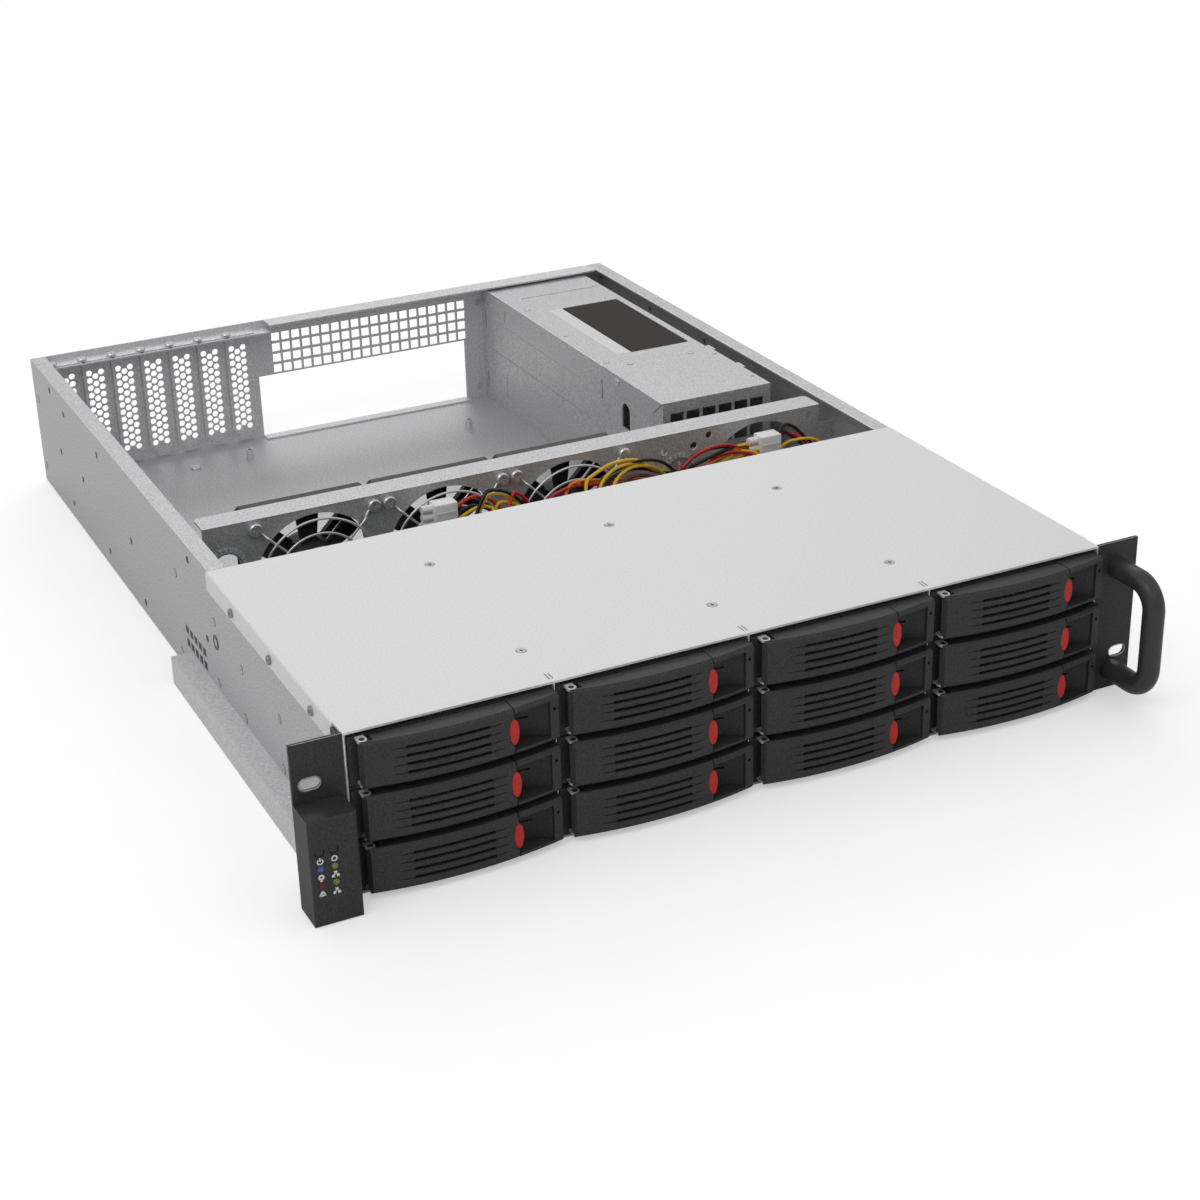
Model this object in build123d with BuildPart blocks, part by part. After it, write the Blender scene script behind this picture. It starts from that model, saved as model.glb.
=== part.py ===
from build123d import *
from math import radians, tan
import os

os.makedirs("parts", exist_ok=True)

# Driving dimensions in millimetres. X is to the right, Y to the rear and Z up.
# The origin is the middle of the underside of the whole object's box.
rack_width = 482.6
body_width = 430
body_height = 88
body_depth = 600
sheet = 1.2
handle_reach = 39
grip_reach = 24

# Places along Y that everything else is measured from
front = handle_reach - (handle_reach + body_depth + grip_reach) / 2
rear = front + body_depth
half = body_width / 2
inner = half - sheet
wall_top = body_height - sheet
touch = 0.01

# Drive bays
columns = 4
row_names = ["bottom", "middle", "top"]
divider = 1.0
shelf = 0.8
shelf_width = 3.5
bay_depth = 165
bay_width = (body_width - 2 * sheet - (columns - 1) * divider) / columns
bay_pitch = bay_width + divider
row_pitch = (body_height - 2 * sheet) / len(row_names)
cover_depth = 205
boss_width = 4
boss_height = 5
boss_places = [37.5, 155]

# Drive trays, for a 3.5 inch drive
drive_width = 101.6
rail = 1.4
rail_height = 20
tray_side_gap = 0.2
tray_width = drive_width + 2 * (rail + tray_side_gap)
tray_floor = 0.8
tray_lift = 0.4
tray_length = 158
bezel_height = 24.6
front_plate = 2
bow_radius = 240
bow_crown = 13
bow_middle = 52
lever_length = 79.4
split_gap = 0.6
lever_back = -1.5
lever_wall = 2
slot_width = 42
slot_height = 1.7
slot_pitch = 4.5
slot_count = 4
slot_middle = 46
groove_length = 8.5
groove_height = 1.1
groove_depth = 0.5
hinge_x = 6
hinge_y = -4
hinge_pin = 1.5
hinge_clearance = 0.05
hinge_boss_height = 21
hinge_ear = 2.2
hinge_ear_thickness = 1.3
release_width = 5
release_height = 13.5
release_gap = 0.4
release_travel = 2
release_x = lever_length + 0.2
stem_width = 2
stem_height = 8
pocket_slits = [(4.5, 5.5, 5), (4.5, 7.5, 0.3)]
pocket_slit_height = 1.1
bay_lamp = 0.9

# Fans and the wall that carries them
fan_size = 80
fan_depth = 38
fan_bore = 38
fan_hole_spacing = 71.5
fan_pitch = 80.87
fan_height = 44.5
fans_fitted = 3
wall_y = 264.8
wall_left = -half + 15.5
wall_right = half - 12.5
fan_first = wall_left + 66.15
spare_position = wall_right - 43.25
wall_flange = 17
wall_height = 86
hub_radius = 17
blade_tip = 36
blades = 7
rotor_depth = 25
wire = 1.6

# Power supply
supply_width = 78.4
supply_height = 84
supply_length = 285.8
supply_gap = 18.4
supply_left = inner - supply_gap - supply_width
supply_front = body_depth - sheet - supply_length
head_depth = 83
supply_sheet = 1.0
head_cover = 0.8
module_gap = 0.3

# Rear openings
slot_brackets_count = 7
bracket_pitch = 20.32
bracket_first = -half + 22.7
bracket_last = bracket_first + (slot_brackets_count - 1) * bracket_pitch
bracket_width = 18.4
bracket_sheet = 0.9
ledge_height = 82
ledge_depth = 14.4
window_width = 158.75
window_height = 44.45
window_left = bracket_last + 13.4
window_middle = window_left + window_width / 2
window_bottom = 2.4
ledge_end = window_left + 7
grid_hole = 6
grid_pitch_x = 7.5
grid_pitch_z = 7.8
grid_columns = 20
grid_rows = 4
grid_middle = window_middle + 6.4
grid_height = 62.7

# Ears, after the standard two-unit hole pattern
ear_hole_span = 465.1
ear_low_hole = 21.85
ear_high_hole = 66.3
ear_sheet = 2
ear_slot_length = 11.5
ear_slot_width = 7
handle_bar = 12
handle_low = 12
handle_high = 73
handle_bend = 14
box_reach = 18
box_height = 56.7
box_wall = 1.5
box_inset = 2
button_radius = 2.2
button_hole = 2.5
button_travel = 1.2
channel_width = 12
channel_height = 17
channel_length = 257

# Motherboard standoffs, after the standard board's holes
board_left = -half + 11.5
board_rear = body_depth - 35
board_hole_x = [board_left, board_left + 124.46, board_left + 281.94]
board_hole_y = [board_rear - 227.33, board_rear - 154.94, board_rear]
board_offset = 22.86
standoff_height = 6.5
standoff_radius = 2.8
standoff_hole = 1.4


def row_middle(row):
    return sheet + row_pitch * (row + 0.5)


def bay_middle(column):
    return bay_pitch * (column - (columns - 1) / 2)


# Chassis tub: the floor and both side walls, folded from one sheet
side_flange = 10
rail_hole = 2
rail_hole_height = 42
rail_hole_places = [370, 482]
other_holes = [(219, rail_hole_height), (538, rail_hole_height), (435, 75), (517, 75), (430, 12), (519, 12)]
vent_columns = 5
vent_rows = 2

with BuildPart() as chassis_tub:
    with BuildSketch(Plane.XZ.offset(-rear)):
        Rectangle(body_width, wall_top, align=(Align.CENTER, Align.MIN))
        with Locations((0, sheet)):
            Rectangle(2 * inner, body_height, align=(Align.CENTER, Align.MIN), mode=Mode.SUBTRACT)
    extrude(amount=body_depth)
    bends = chassis_tub.edges().filter_by(Axis.Y).group_by(Axis.Z)[0]
    fillet(bends, radius=sheet)
    # The flanges start behind the front cover
    with BuildSketch(Plane.XY.offset(wall_top)):
        with Locations((0, front + cover_depth + 0.3)):
            Rectangle(body_width, body_depth - cover_depth - 0.3, align=(Align.CENTER, Align.MIN))
            Rectangle(
                body_width - 2 * side_flange,
                body_depth,
                align=(Align.CENTER, Align.MIN),
                mode=Mode.SUBTRACT,
            )
    extrude(amount=sheet)
    # Rail holes go through both walls
    with BuildSketch(Plane.YZ.offset(half + 1)):
        for place in rail_hole_places:
            with Locations((front + place, rail_hole_height)):
                Circle(rail_hole)
        for place, height in other_holes:
            with Locations((front + place, height)):
                Circle(rail_hole)
    extrude(amount=-(body_width + 2), mode=Mode.SUBTRACT)
    # The small vent beside the fan wall
    with BuildSketch(Plane.YZ.offset(-half - 1)):
        with Locations((front + 244.5, 25.5)):
            with GridLocations(6.7, 5.2, vent_columns, vent_rows):
                Rectangle(5, 4)
    extrude(amount=4, mode=Mode.SUBTRACT)
chassis_tub.part.label = "chassis_tub"
export_step(chassis_tub.part, "parts/chassis_tub.step")

# Rear panel: vent grid, port window, slot openings and the opening for the supply
supply_middle = supply_left + supply_width / 2

with BuildPart() as rear_panel:
    with BuildSketch(Plane.XZ.offset(-rear)):
        with Locations((0, sheet)):
            Rectangle(2 * inner, wall_top - sheet, align=(Align.CENTER, Align.MIN))
            Rectangle(
                2 * (half - side_flange) - 1,
                body_height - sheet,
                align=(Align.CENTER, Align.MIN),
            )
        with Locations((window_middle, window_bottom + window_height / 2)):
            Rectangle(window_width, window_height, mode=Mode.SUBTRACT)
        with Locations((grid_middle, grid_height)):
            with GridLocations(grid_pitch_x, grid_pitch_z, grid_columns, grid_rows):
                Rectangle(grid_hole, grid_hole, mode=Mode.SUBTRACT)
        with Locations((supply_middle, sheet + supply_height / 2)):
            Rectangle(
                supply_width - 2 * supply_sheet,
                supply_height - 2 * supply_sheet,
                mode=Mode.SUBTRACT,
            )
        for slot in range(slot_brackets_count):
            with Locations((bracket_first + slot * bracket_pitch, 41)):
                Rectangle(13.5, 66, mode=Mode.SUBTRACT)
    extrude(amount=sheet)
    # Top flange over the grid and the supply
    with BuildSketch(Plane.XY.offset(wall_top)):
        with Locations((ledge_end, rear - ledge_depth)):
            Rectangle(half - side_flange - 0.5 - ledge_end, ledge_depth - sheet + touch, align=(Align.MIN, Align.MIN))
    extrude(amount=sheet)
    # Ledge for the bracket screws, notched where the brackets rise through it
    with BuildSketch(Plane.XY.offset(ledge_height)):
        with Locations((-half + side_flange + 0.5, rear - ledge_depth)):
            Rectangle(half - side_flange - 0.5 + ledge_end, ledge_depth - sheet + touch, align=(Align.MIN, Align.MIN))
        for slot in range(slot_brackets_count):
            with Locations((bracket_first + slot * bracket_pitch, rear - sheet)):
                Rectangle(
                    bracket_width + 0.4,
                    bracket_sheet + 0.2,
                    align=(Align.CENTER, Align.MAX),
                    mode=Mode.SUBTRACT,
                )
    extrude(amount=sheet)
    # Bottom flange, lying on the floor under the window
    with BuildSketch(Plane.XY.offset(sheet)):
        with Locations((window_middle, rear - sheet + touch)):
            Rectangle(window_width, 7, align=(Align.CENTER, Align.MAX))
    extrude(amount=window_bottom - sheet)
rear_panel.part.label = "rear_panel"
export_step(rear_panel.part, "parts/rear_panel.step")

# Front cover over the drive bays, with its side flaps
flap_height = 11
flap_start = 12
screw_head = 3
screw_shank = 1.2
cover_screw_places = [(x, y) for x in (-bay_pitch, 0, bay_pitch) for y in boss_places]
flap_screw_places = [39, 100, 161]
flap_screw_height = 82
slit_length = 6.5
slit_width = 0.9

with BuildPart() as front_cover:
    with BuildSketch(Plane.XZ.offset(-(front + cover_depth))):
        with Locations((0, body_height)):
            Rectangle(body_width + 2 * sheet, flap_height, align=(Align.CENTER, Align.MAX))
        with Locations((0, wall_top)):
            Rectangle(body_width, flap_height, align=(Align.CENTER, Align.MAX), mode=Mode.SUBTRACT)
    extrude(amount=cover_depth)
    folds = front_cover.edges().filter_by(Axis.Y).group_by(Axis.Z)[-1]
    fillet(folds, radius=sheet)
    # The flaps start behind the ears
    with BuildSketch(Plane.XY.offset(body_height)):
        for side in (-1, 1):
            with Locations((side * (half + sheet), front)):
                Rectangle(2 * sheet, 2 * flap_start)
    extrude(amount=-2 * flap_height, mode=Mode.SUBTRACT)
    for x, y in cover_screw_places:
        with Locations((x, front + y, body_height)):
            CounterSinkHole(radius=screw_shank + 0.1, counter_sink_radius=screw_head + 0.05, depth=2 * sheet)
    # Pairs of slits over the dividers' front corners
    with BuildSketch(Plane.XY.offset(wall_top)):
        for x in (-bay_pitch, 0, bay_pitch):
            with Locations((x, front + 6)):
                with GridLocations(2 * slit_width, 0, 2, 1):
                    Rectangle(slit_width, slit_length)
    extrude(amount=2 * sheet, mode=Mode.SUBTRACT)
front_cover.part.label = "front_cover"
export_step(front_cover.part, "parts/front_cover.step")

# Slot brackets: perforated low-profile covers with a bent screw tab and a tapered tongue
bracket_holes = [(-4.5, 6, 10.4), (0, 5, 10.4), (4.5, 6, 10.4)]
bracket_hole = 2.6
bracket_hole_middle = 41
tongue_bottom = 2.6
tongue_top = 9
tongue_width = 10
bracket_tab = 12

with BuildPart() as slot_brackets:
    bracket_y = rear - sheet
    for slot in range(slot_brackets_count):
        x = bracket_first + slot * bracket_pitch
        with BuildSketch(Plane.XZ.offset(-bracket_y)):
            with BuildLine():
                Polyline(
                    (x - bracket_width / 2, ledge_height + sheet + bracket_sheet),
                    (x - bracket_width / 2, tongue_top + 4),
                    (x - tongue_width / 2, tongue_top),
                    (x - tongue_width / 2, tongue_bottom),
                    (x + tongue_width / 2, tongue_bottom),
                    (x + tongue_width / 2, tongue_top),
                    (x + bracket_width / 2, tongue_top + 4),
                    (x + bracket_width / 2, ledge_height + sheet + bracket_sheet),
                    close=True,
                )
            make_face()
            for offset_x, count, pitch in bracket_holes:
                with Locations((x + offset_x, bracket_hole_middle)):
                    with GridLocations(0, pitch, 1, count):
                        RegularPolygon(bracket_hole, 4, mode=Mode.SUBTRACT)
        extrude(amount=bracket_sheet)
        with BuildSketch(Plane.XY.offset(ledge_height + sheet)):
            with Locations((x, bracket_y)):
                Rectangle(bracket_width, bracket_tab, align=(Align.CENTER, Align.MAX))
        extrude(amount=bracket_sheet)
slot_brackets.part.label = "slot_brackets"
export_step(slot_brackets.part, "parts/slot_brackets.step")

# Drive cage: the dividers with their guide shelves, and the shelves riveted to the walls
with BuildPart() as drive_cage:
    with BuildSketch(Plane.XY.offset(sheet)):
        for x in (-bay_pitch, 0, bay_pitch):
            with Locations((x, front)):
                Rectangle(divider, bay_depth, align=(Align.CENTER, Align.MIN))
    extrude(amount=wall_top - sheet)
    for row in range(len(row_names)):
        with BuildSketch(Plane.XY.offset(sheet + row * row_pitch)):
            for x in (-bay_pitch, 0, bay_pitch):
                with Locations((x, front + 3)):
                    Rectangle(divider + 2 * shelf_width, bay_depth - 3, align=(Align.CENTER, Align.MIN))
            for side in (-1, 1):
                with Locations((side * (inner - shelf_width / 2), front + 3)):
                    Rectangle(shelf_width, bay_depth - 3, align=(Align.CENTER, Align.MIN))
        extrude(amount=shelf)
    # Bosses for the cover screws
    with BuildSketch(Plane.XY.offset(wall_top)):
        for x, y in cover_screw_places:
            with Locations((x, front + y)):
                Rectangle(boss_width, 8)
    extrude(amount=-boss_height)
    for x, y in cover_screw_places:
        with Locations((x, front + y, wall_top)):
            Hole(radius=screw_shank + 0.05, depth=boss_height)
drive_cage.part.label = "drive_cage"
export_step(drive_cage.part, "parts/drive_cage.step")

# Backplane: circuit board with drive connectors in front and power sockets behind
backplane_y = 170
board = 2
connector_width = 33
connector_height = 6
connector_depth = 8
board_bottom = sheet + 0.3
board_top = 84
socket_width = 23
socket_height = 12
socket_depth = 14
socket_places = [(-12, 50), (22, 50), (112, 50), (146, 50)]

with BuildPart() as backplane:
    with BuildSketch(Plane.XZ.offset(-(front + backplane_y + board))):
        with Locations((0, board_bottom)):
            Rectangle(2 * inner - 0.6, board_top - board_bottom, align=(Align.CENTER, Align.MIN))
        # Air slots between the rows of connectors
        for column in range(columns):
            for row in range(len(row_names)):
                with Locations((bay_middle(column) + 30, row_middle(row) + 4)):
                    Rectangle(28, 9, mode=Mode.SUBTRACT)
    extrude(amount=board)
    with BuildSketch(Plane.XZ.offset(-(front + backplane_y))):
        for column in range(columns):
            for row in range(len(row_names)):
                with Locations((bay_middle(column) - 20, row_middle(row) - 7)):
                    Rectangle(connector_width, connector_height)
    extrude(amount=connector_depth)
    with BuildSketch(Plane.XZ.offset(-(front + backplane_y + board))):
        for x, z in socket_places:
            with Locations((x, z)):
                Rectangle(socket_width, socket_height)
    extrude(amount=-socket_depth)
backplane.part.label = "backplane"
export_step(backplane.part, "parts/backplane.step")

# Rack ears, each with its mounting slot and a flange along the wall
ear_width = (rack_width - body_width) / 2
ear_flange = 11
ear_gap = 0.3

with BuildPart() as rack_ears:
    for side, hole_height in ((-1, ear_high_hole), (1, ear_low_hole)):
        with BuildSketch(Plane.XZ.offset(-(front + ear_sheet))):
            with Locations((side * (half + ear_width / 2), body_height / 2)):
                Rectangle(ear_width, body_height)
            with Locations((side * ear_hole_span / 2, hole_height)):
                SlotOverall(ear_slot_length, ear_slot_width, mode=Mode.SUBTRACT)
        extrude(amount=ear_sheet)
        with BuildSketch(Plane.XY):
            with Locations((side * (half + ear_sheet / 2), front + ear_sheet)):
                Rectangle(ear_sheet, ear_flange - ear_sheet, align=(Align.CENTER, Align.MIN))
        extrude(amount=wall_top - ear_gap)
rack_ears.part.label = "rack_ears"
export_step(rack_ears.part, "parts/rack_ears.step")

# Handle: a round bar bent to a U, standing on the right ear
handle_x = half + ear_width / 2
handle_middle = handle_reach - handle_bar / 2

with BuildPart() as handle:
    with BuildLine() as handle_path:
        FilletPolyline(
            (handle_x, front, handle_high),
            (handle_x, front - handle_middle, handle_high),
            (handle_x, front - handle_middle, handle_low),
            (handle_x, front, handle_low),
            radius=handle_bend,
        )
    with BuildSketch(Plane(origin=(handle_x, front, handle_high), z_dir=(0, -1, 0))):
        Circle(handle_bar / 2)
    sweep()
handle.part.label = "handle"
export_step(handle.part, "parts/handle.step")

# Control box on the left ear
box_left = -rack_width / 2
box_width = ear_width - box_inset
box_middle = box_left + box_width / 2
button_x = [box_left + 4.8, box_left + 11.8]
button_height = 40
lamp_places = [(x, z) for x in button_x for z in (22.5, 31.2)]
lamp_radius = 1.5

with BuildPart() as control_box:
    with BuildSketch(Plane.XY):
        with Locations((box_middle, front)):
            Rectangle(box_width, box_reach, align=(Align.CENTER, Align.MAX))
    extrude(amount=box_height)
    corners = control_box.edges().group_by(Axis.Y)[0]
    chamfer(corners, length=0.8)
    # Open towards the ear
    with BuildSketch(Plane.XY.offset(box_wall)):
        with Locations((box_middle, front)):
            Rectangle(box_width - 2 * box_wall, box_reach - box_wall, align=(Align.CENTER, Align.MAX))
    extrude(amount=box_height - 2 * box_wall, mode=Mode.SUBTRACT)
    with BuildSketch(Plane.XZ.offset(-(front - box_reach + 2 * box_wall))):
        for x in button_x:
            with Locations((x, button_height)):
                Circle(button_hole)
        for x, z in lamp_places:
            with Locations((x, z)):
                Circle(lamp_radius + 0.1)
    extrude(amount=3 * box_wall, mode=Mode.SUBTRACT)
control_box.part.label = "control_box"
export_step(control_box.part, "parts/control_box.step")

# Push buttons: a cap that stands in its hole, and a flange that keeps it in
cap_recess = 0.5
flange_radius = 3.2
flange_gap = 0.2
button_names = ["power_button", "reset_button"]
box_face = front - box_reach

for name, x in zip(button_names, button_x):
    with BuildPart() as button:
        with BuildSketch(Plane.XZ.offset(-(box_face + box_wall + flange_gap + 1))):
            with Locations((x, button_height)):
                Circle(flange_radius)
        extrude(amount=1)
        with BuildSketch(Plane.XZ.offset(-(box_face + box_wall + flange_gap))):
            with Locations((x, button_height)):
                Circle(button_radius)
        extrude(amount=box_wall + flange_gap - cap_recess)
    button.part.label = name
    export_step(button.part, f"parts/{name}.step")

# Front panel board, with its switches and lamps
panel_board_y = box_face + 9
switch_size = 6
flange_back = box_face + box_wall + flange_gap + 1

with BuildPart() as front_panel_board:
    with BuildSketch(Plane.XZ.offset(-(panel_board_y + 1.6))):
        with Locations((box_middle, 27)):
            Rectangle(box_width - 2 * box_wall - touch, 44)
    extrude(amount=1.6)
    with BuildSketch(Plane.XZ.offset(-panel_board_y)):
        for x in button_x:
            with Locations((x, button_height)):
                Rectangle(switch_size, switch_size)
    extrude(amount=panel_board_y - flange_back - button_travel - 0.2)
    with BuildSketch(Plane.XZ.offset(-panel_board_y)):
        for x, z in lamp_places:
            with Locations((x, z)):
                Circle(lamp_radius)
    extrude(amount=panel_board_y - box_face + 0.3)
front_panel_board.part.label = "front_panel_board"
export_step(front_panel_board.part, "parts/front_panel_board.step")

# Side channel over the front panel's cable, along the foot of the left wall
with BuildPart() as side_channel:
    with BuildSketch(Plane.XZ.offset(-(front + channel_length))):
        with Locations((-half, 0)):
            Rectangle(channel_width, channel_height, align=(Align.MAX, Align.MIN))
        with Locations((-half, sheet)):
            Rectangle(
                channel_width - sheet,
                channel_height - 2 * sheet,
                align=(Align.MAX, Align.MIN),
                mode=Mode.SUBTRACT,
            )
    extrude(amount=channel_length - ear_flange - 0.2)
side_channel.part.label = "side_channel"
export_step(side_channel.part, "parts/side_channel.step")

# Fan wall: openings for four fans, screw holes, two cable openings and a top flange
fan_middles = [fan_first + fan_pitch * n for n in range(fans_fitted)]
cable_hole = 10
cable_holes = [(wall_left + 12.5, 60), (wall_right - 99.8, 60.5)]
fan_screw_hole = 2.2
tie_hole = 2.5
tie_hole_spacing = 20.6
tie_hole_rise = 14.6
wall_step = 73

with BuildPart() as fan_wall:
    with BuildSketch(Plane.XZ.offset(-(front + wall_y + sheet))):
        with Locations((wall_left, sheet)):
            Rectangle(wall_right - wall_left, wall_height - sheet, align=(Align.MIN, Align.MIN))
        for x in fan_middles + [spare_position]:
            with Locations((x, fan_height)):
                Circle(fan_bore - 0.5, mode=Mode.SUBTRACT)
                with GridLocations(fan_hole_spacing, fan_hole_spacing, 2, 2):
                    Circle(fan_screw_hole, mode=Mode.SUBTRACT)
        for x, z in cable_holes:
            with Locations((x, z)):
                Circle(cable_hole, mode=Mode.SUBTRACT)
        with Locations((cable_holes[1][0], cable_holes[1][1] + tie_hole_rise)):
            with GridLocations(tie_hole_spacing, 0, 2, 1):
                Circle(tie_hole, mode=Mode.SUBTRACT)
        # Below a step, the wall reaches the tub's right side
        with Locations((wall_right, sheet)):
            Rectangle(inner - wall_right, wall_step - sheet, align=(Align.MIN, Align.MIN))
    extrude(amount=sheet)
    with BuildSketch(Plane.XY.offset(wall_height)):
        with Locations((wall_left, front + wall_y)):
            Rectangle(wall_right - wall_left, wall_flange, align=(Align.MIN, Align.MIN))
    extrude(amount=-sheet)
    # The flange's rear corners are rounded
    flange_corners = fan_wall.edges().filter_by(Axis.Z).group_by(Axis.Y)[-1]
    fillet(flange_corners, radius=3)
fan_wall.part.label = "fan_wall"
export_step(fan_wall.part, "parts/fan_wall.step")

# Fan housings: square frames with the motor plate on four struts at the back
fan_y = wall_y + sheet
motor_thickness = 6
strut = 4
shaft_radius = 1.5

with BuildPart() as fan_frames:
    for x in fan_middles:
        frame_back = Plane.XZ.offset(-(front + fan_y + fan_depth))
        with BuildSketch(frame_back):
            with Locations((x, fan_height)):
                Rectangle(fan_size, fan_size)
                Circle(fan_bore, mode=Mode.SUBTRACT)
                with GridLocations(fan_hole_spacing, fan_hole_spacing, 2, 2):
                    RegularPolygon(fan_screw_hole, 8, mode=Mode.SUBTRACT)
        extrude(amount=fan_depth)
        with BuildSketch(frame_back):
            with Locations((x, fan_height)):
                with PolarLocations(0, 4, start_angle=45):
                    Rectangle(fan_bore + 1, strut, align=(Align.MIN, Align.CENTER))
                Circle(hub_radius)
                Circle(shaft_radius + hinge_clearance, mode=Mode.SUBTRACT)
        extrude(amount=motor_thickness)
    # Rounded outer corners
    outer = fan_frames.edges().filter_by(Axis.Y).filter_by(lambda e: abs(e.length - fan_depth) < touch)
    rounded = outer.group_by(Axis.Z)[0] + outer.group_by(Axis.Z)[-1]
    chamfer(rounded, length=3)
fan_frames.part.label = "fan_frames"
export_step(fan_frames.part, "parts/fan_frames.step")

# Rotors: cup hub, shaft and seven twisted blades
rotor_back = fan_y + fan_depth - motor_thickness - 0.5
blade_root = hub_radius - 1
root_chord = 20
tip_chord = 20
root_pitch = 52
tip_pitch = 34
blade_sheet = 1.6

for number, x in enumerate(fan_middles, start=1):
    rotor_middle = Vector(x, front + rotor_back - rotor_depth / 2, fan_height)
    with BuildPart() as fan_rotor:
        with BuildSketch(Plane.XZ.offset(-(front + rotor_back))):
            with Locations((x, fan_height)):
                Circle(hub_radius)
        extrude(amount=rotor_depth)
        with BuildSketch(Plane.XZ.offset(-(front + rotor_back))):
            with Locations((x, fan_height)):
                Circle(shaft_radius)
        extrude(amount=-(motor_thickness - 0.5))
        for blade in range(blades):
            turn = Rotation(0, 360 * blade / blades, 0)
            outward = (turn * Pos(0, 0, 1)).position
            along = (turn * Pos(1, 0, 0)).position
            for_root = Plane(rotor_middle + outward * blade_root, x_dir=along, z_dir=outward)
            for_tip = Plane(rotor_middle + outward * blade_tip, x_dir=along, z_dir=outward)
            with BuildSketch(for_root):
                Rectangle(root_chord, blade_sheet, rotation=root_pitch)
            with BuildSketch(for_tip):
                Rectangle(tip_chord, blade_sheet, rotation=tip_pitch)
            loft()
    fan_rotor.part.label = f"fan_rotor_{number}"
    export_step(fan_rotor.part, f"parts/fan_rotor_{number}.step")

# Wire guards in front of the wall: rings on crossed arms that end in screw eyes
guard_rings = [9.5, 18.4, 27.3, 36.2]
eye_radius = 4.2
guard_reach = fan_hole_spacing / 2
arm_length = guard_reach * 2 ** 0.5

with BuildPart() as fan_guards:
    for x in fan_middles:
        with BuildSketch(Plane.XZ.offset(-(front + wall_y))):
            with Locations((x, fan_height)):
                for angle in (45, 135):
                    Rectangle(2 * arm_length - 2 * fan_screw_hole, wire, rotation=angle)
                RegularPolygon(guard_rings[0], 18, mode=Mode.SUBTRACT)
                with GridLocations(fan_hole_spacing, fan_hole_spacing, 2, 2):
                    RegularPolygon(eye_radius, 8)
                    RegularPolygon(fan_screw_hole, 8, mode=Mode.SUBTRACT)
        extrude(amount=wire)
        with BuildSketch(Plane.XZ.offset(-(front + wall_y - wire))):
            with Locations((x, fan_height)):
                for ring in guard_rings:
                    RegularPolygon(ring + wire / 2, 18)
                    RegularPolygon(ring - wire / 2, 18, mode=Mode.SUBTRACT)
        extrude(amount=wire)
fan_guards.part.label = "fan_guards"
export_step(fan_guards.part, "parts/fan_guards.step")

# Power supply housing: the head with its grille, and two bays open to the rear
supply_depth = body_depth - sheet - supply_front
module_height = (supply_height - 3 * supply_sheet) / 2
bay_start = supply_front + head_depth
grille_count = 6
grille_pitch = 11.6
grille_hole = (9.6, 26)
cover_drop = 10
cover_corner = 13
cover_step = bay_start - 12
tab_places = [bay_start - 2.3, bay_start - 42.6]
hook_holes = [bay_start - 15.8, bay_start - 65.7]
stamp_depth = 0.4
stamp_start = bay_start + 32
stamp_length = 130
stamp_levels = [(9, 31), (65.7, 78.6)]
seam = (bay_start + 24, 165, 0.9)
post_slits = [15.8, 62.8]

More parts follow.
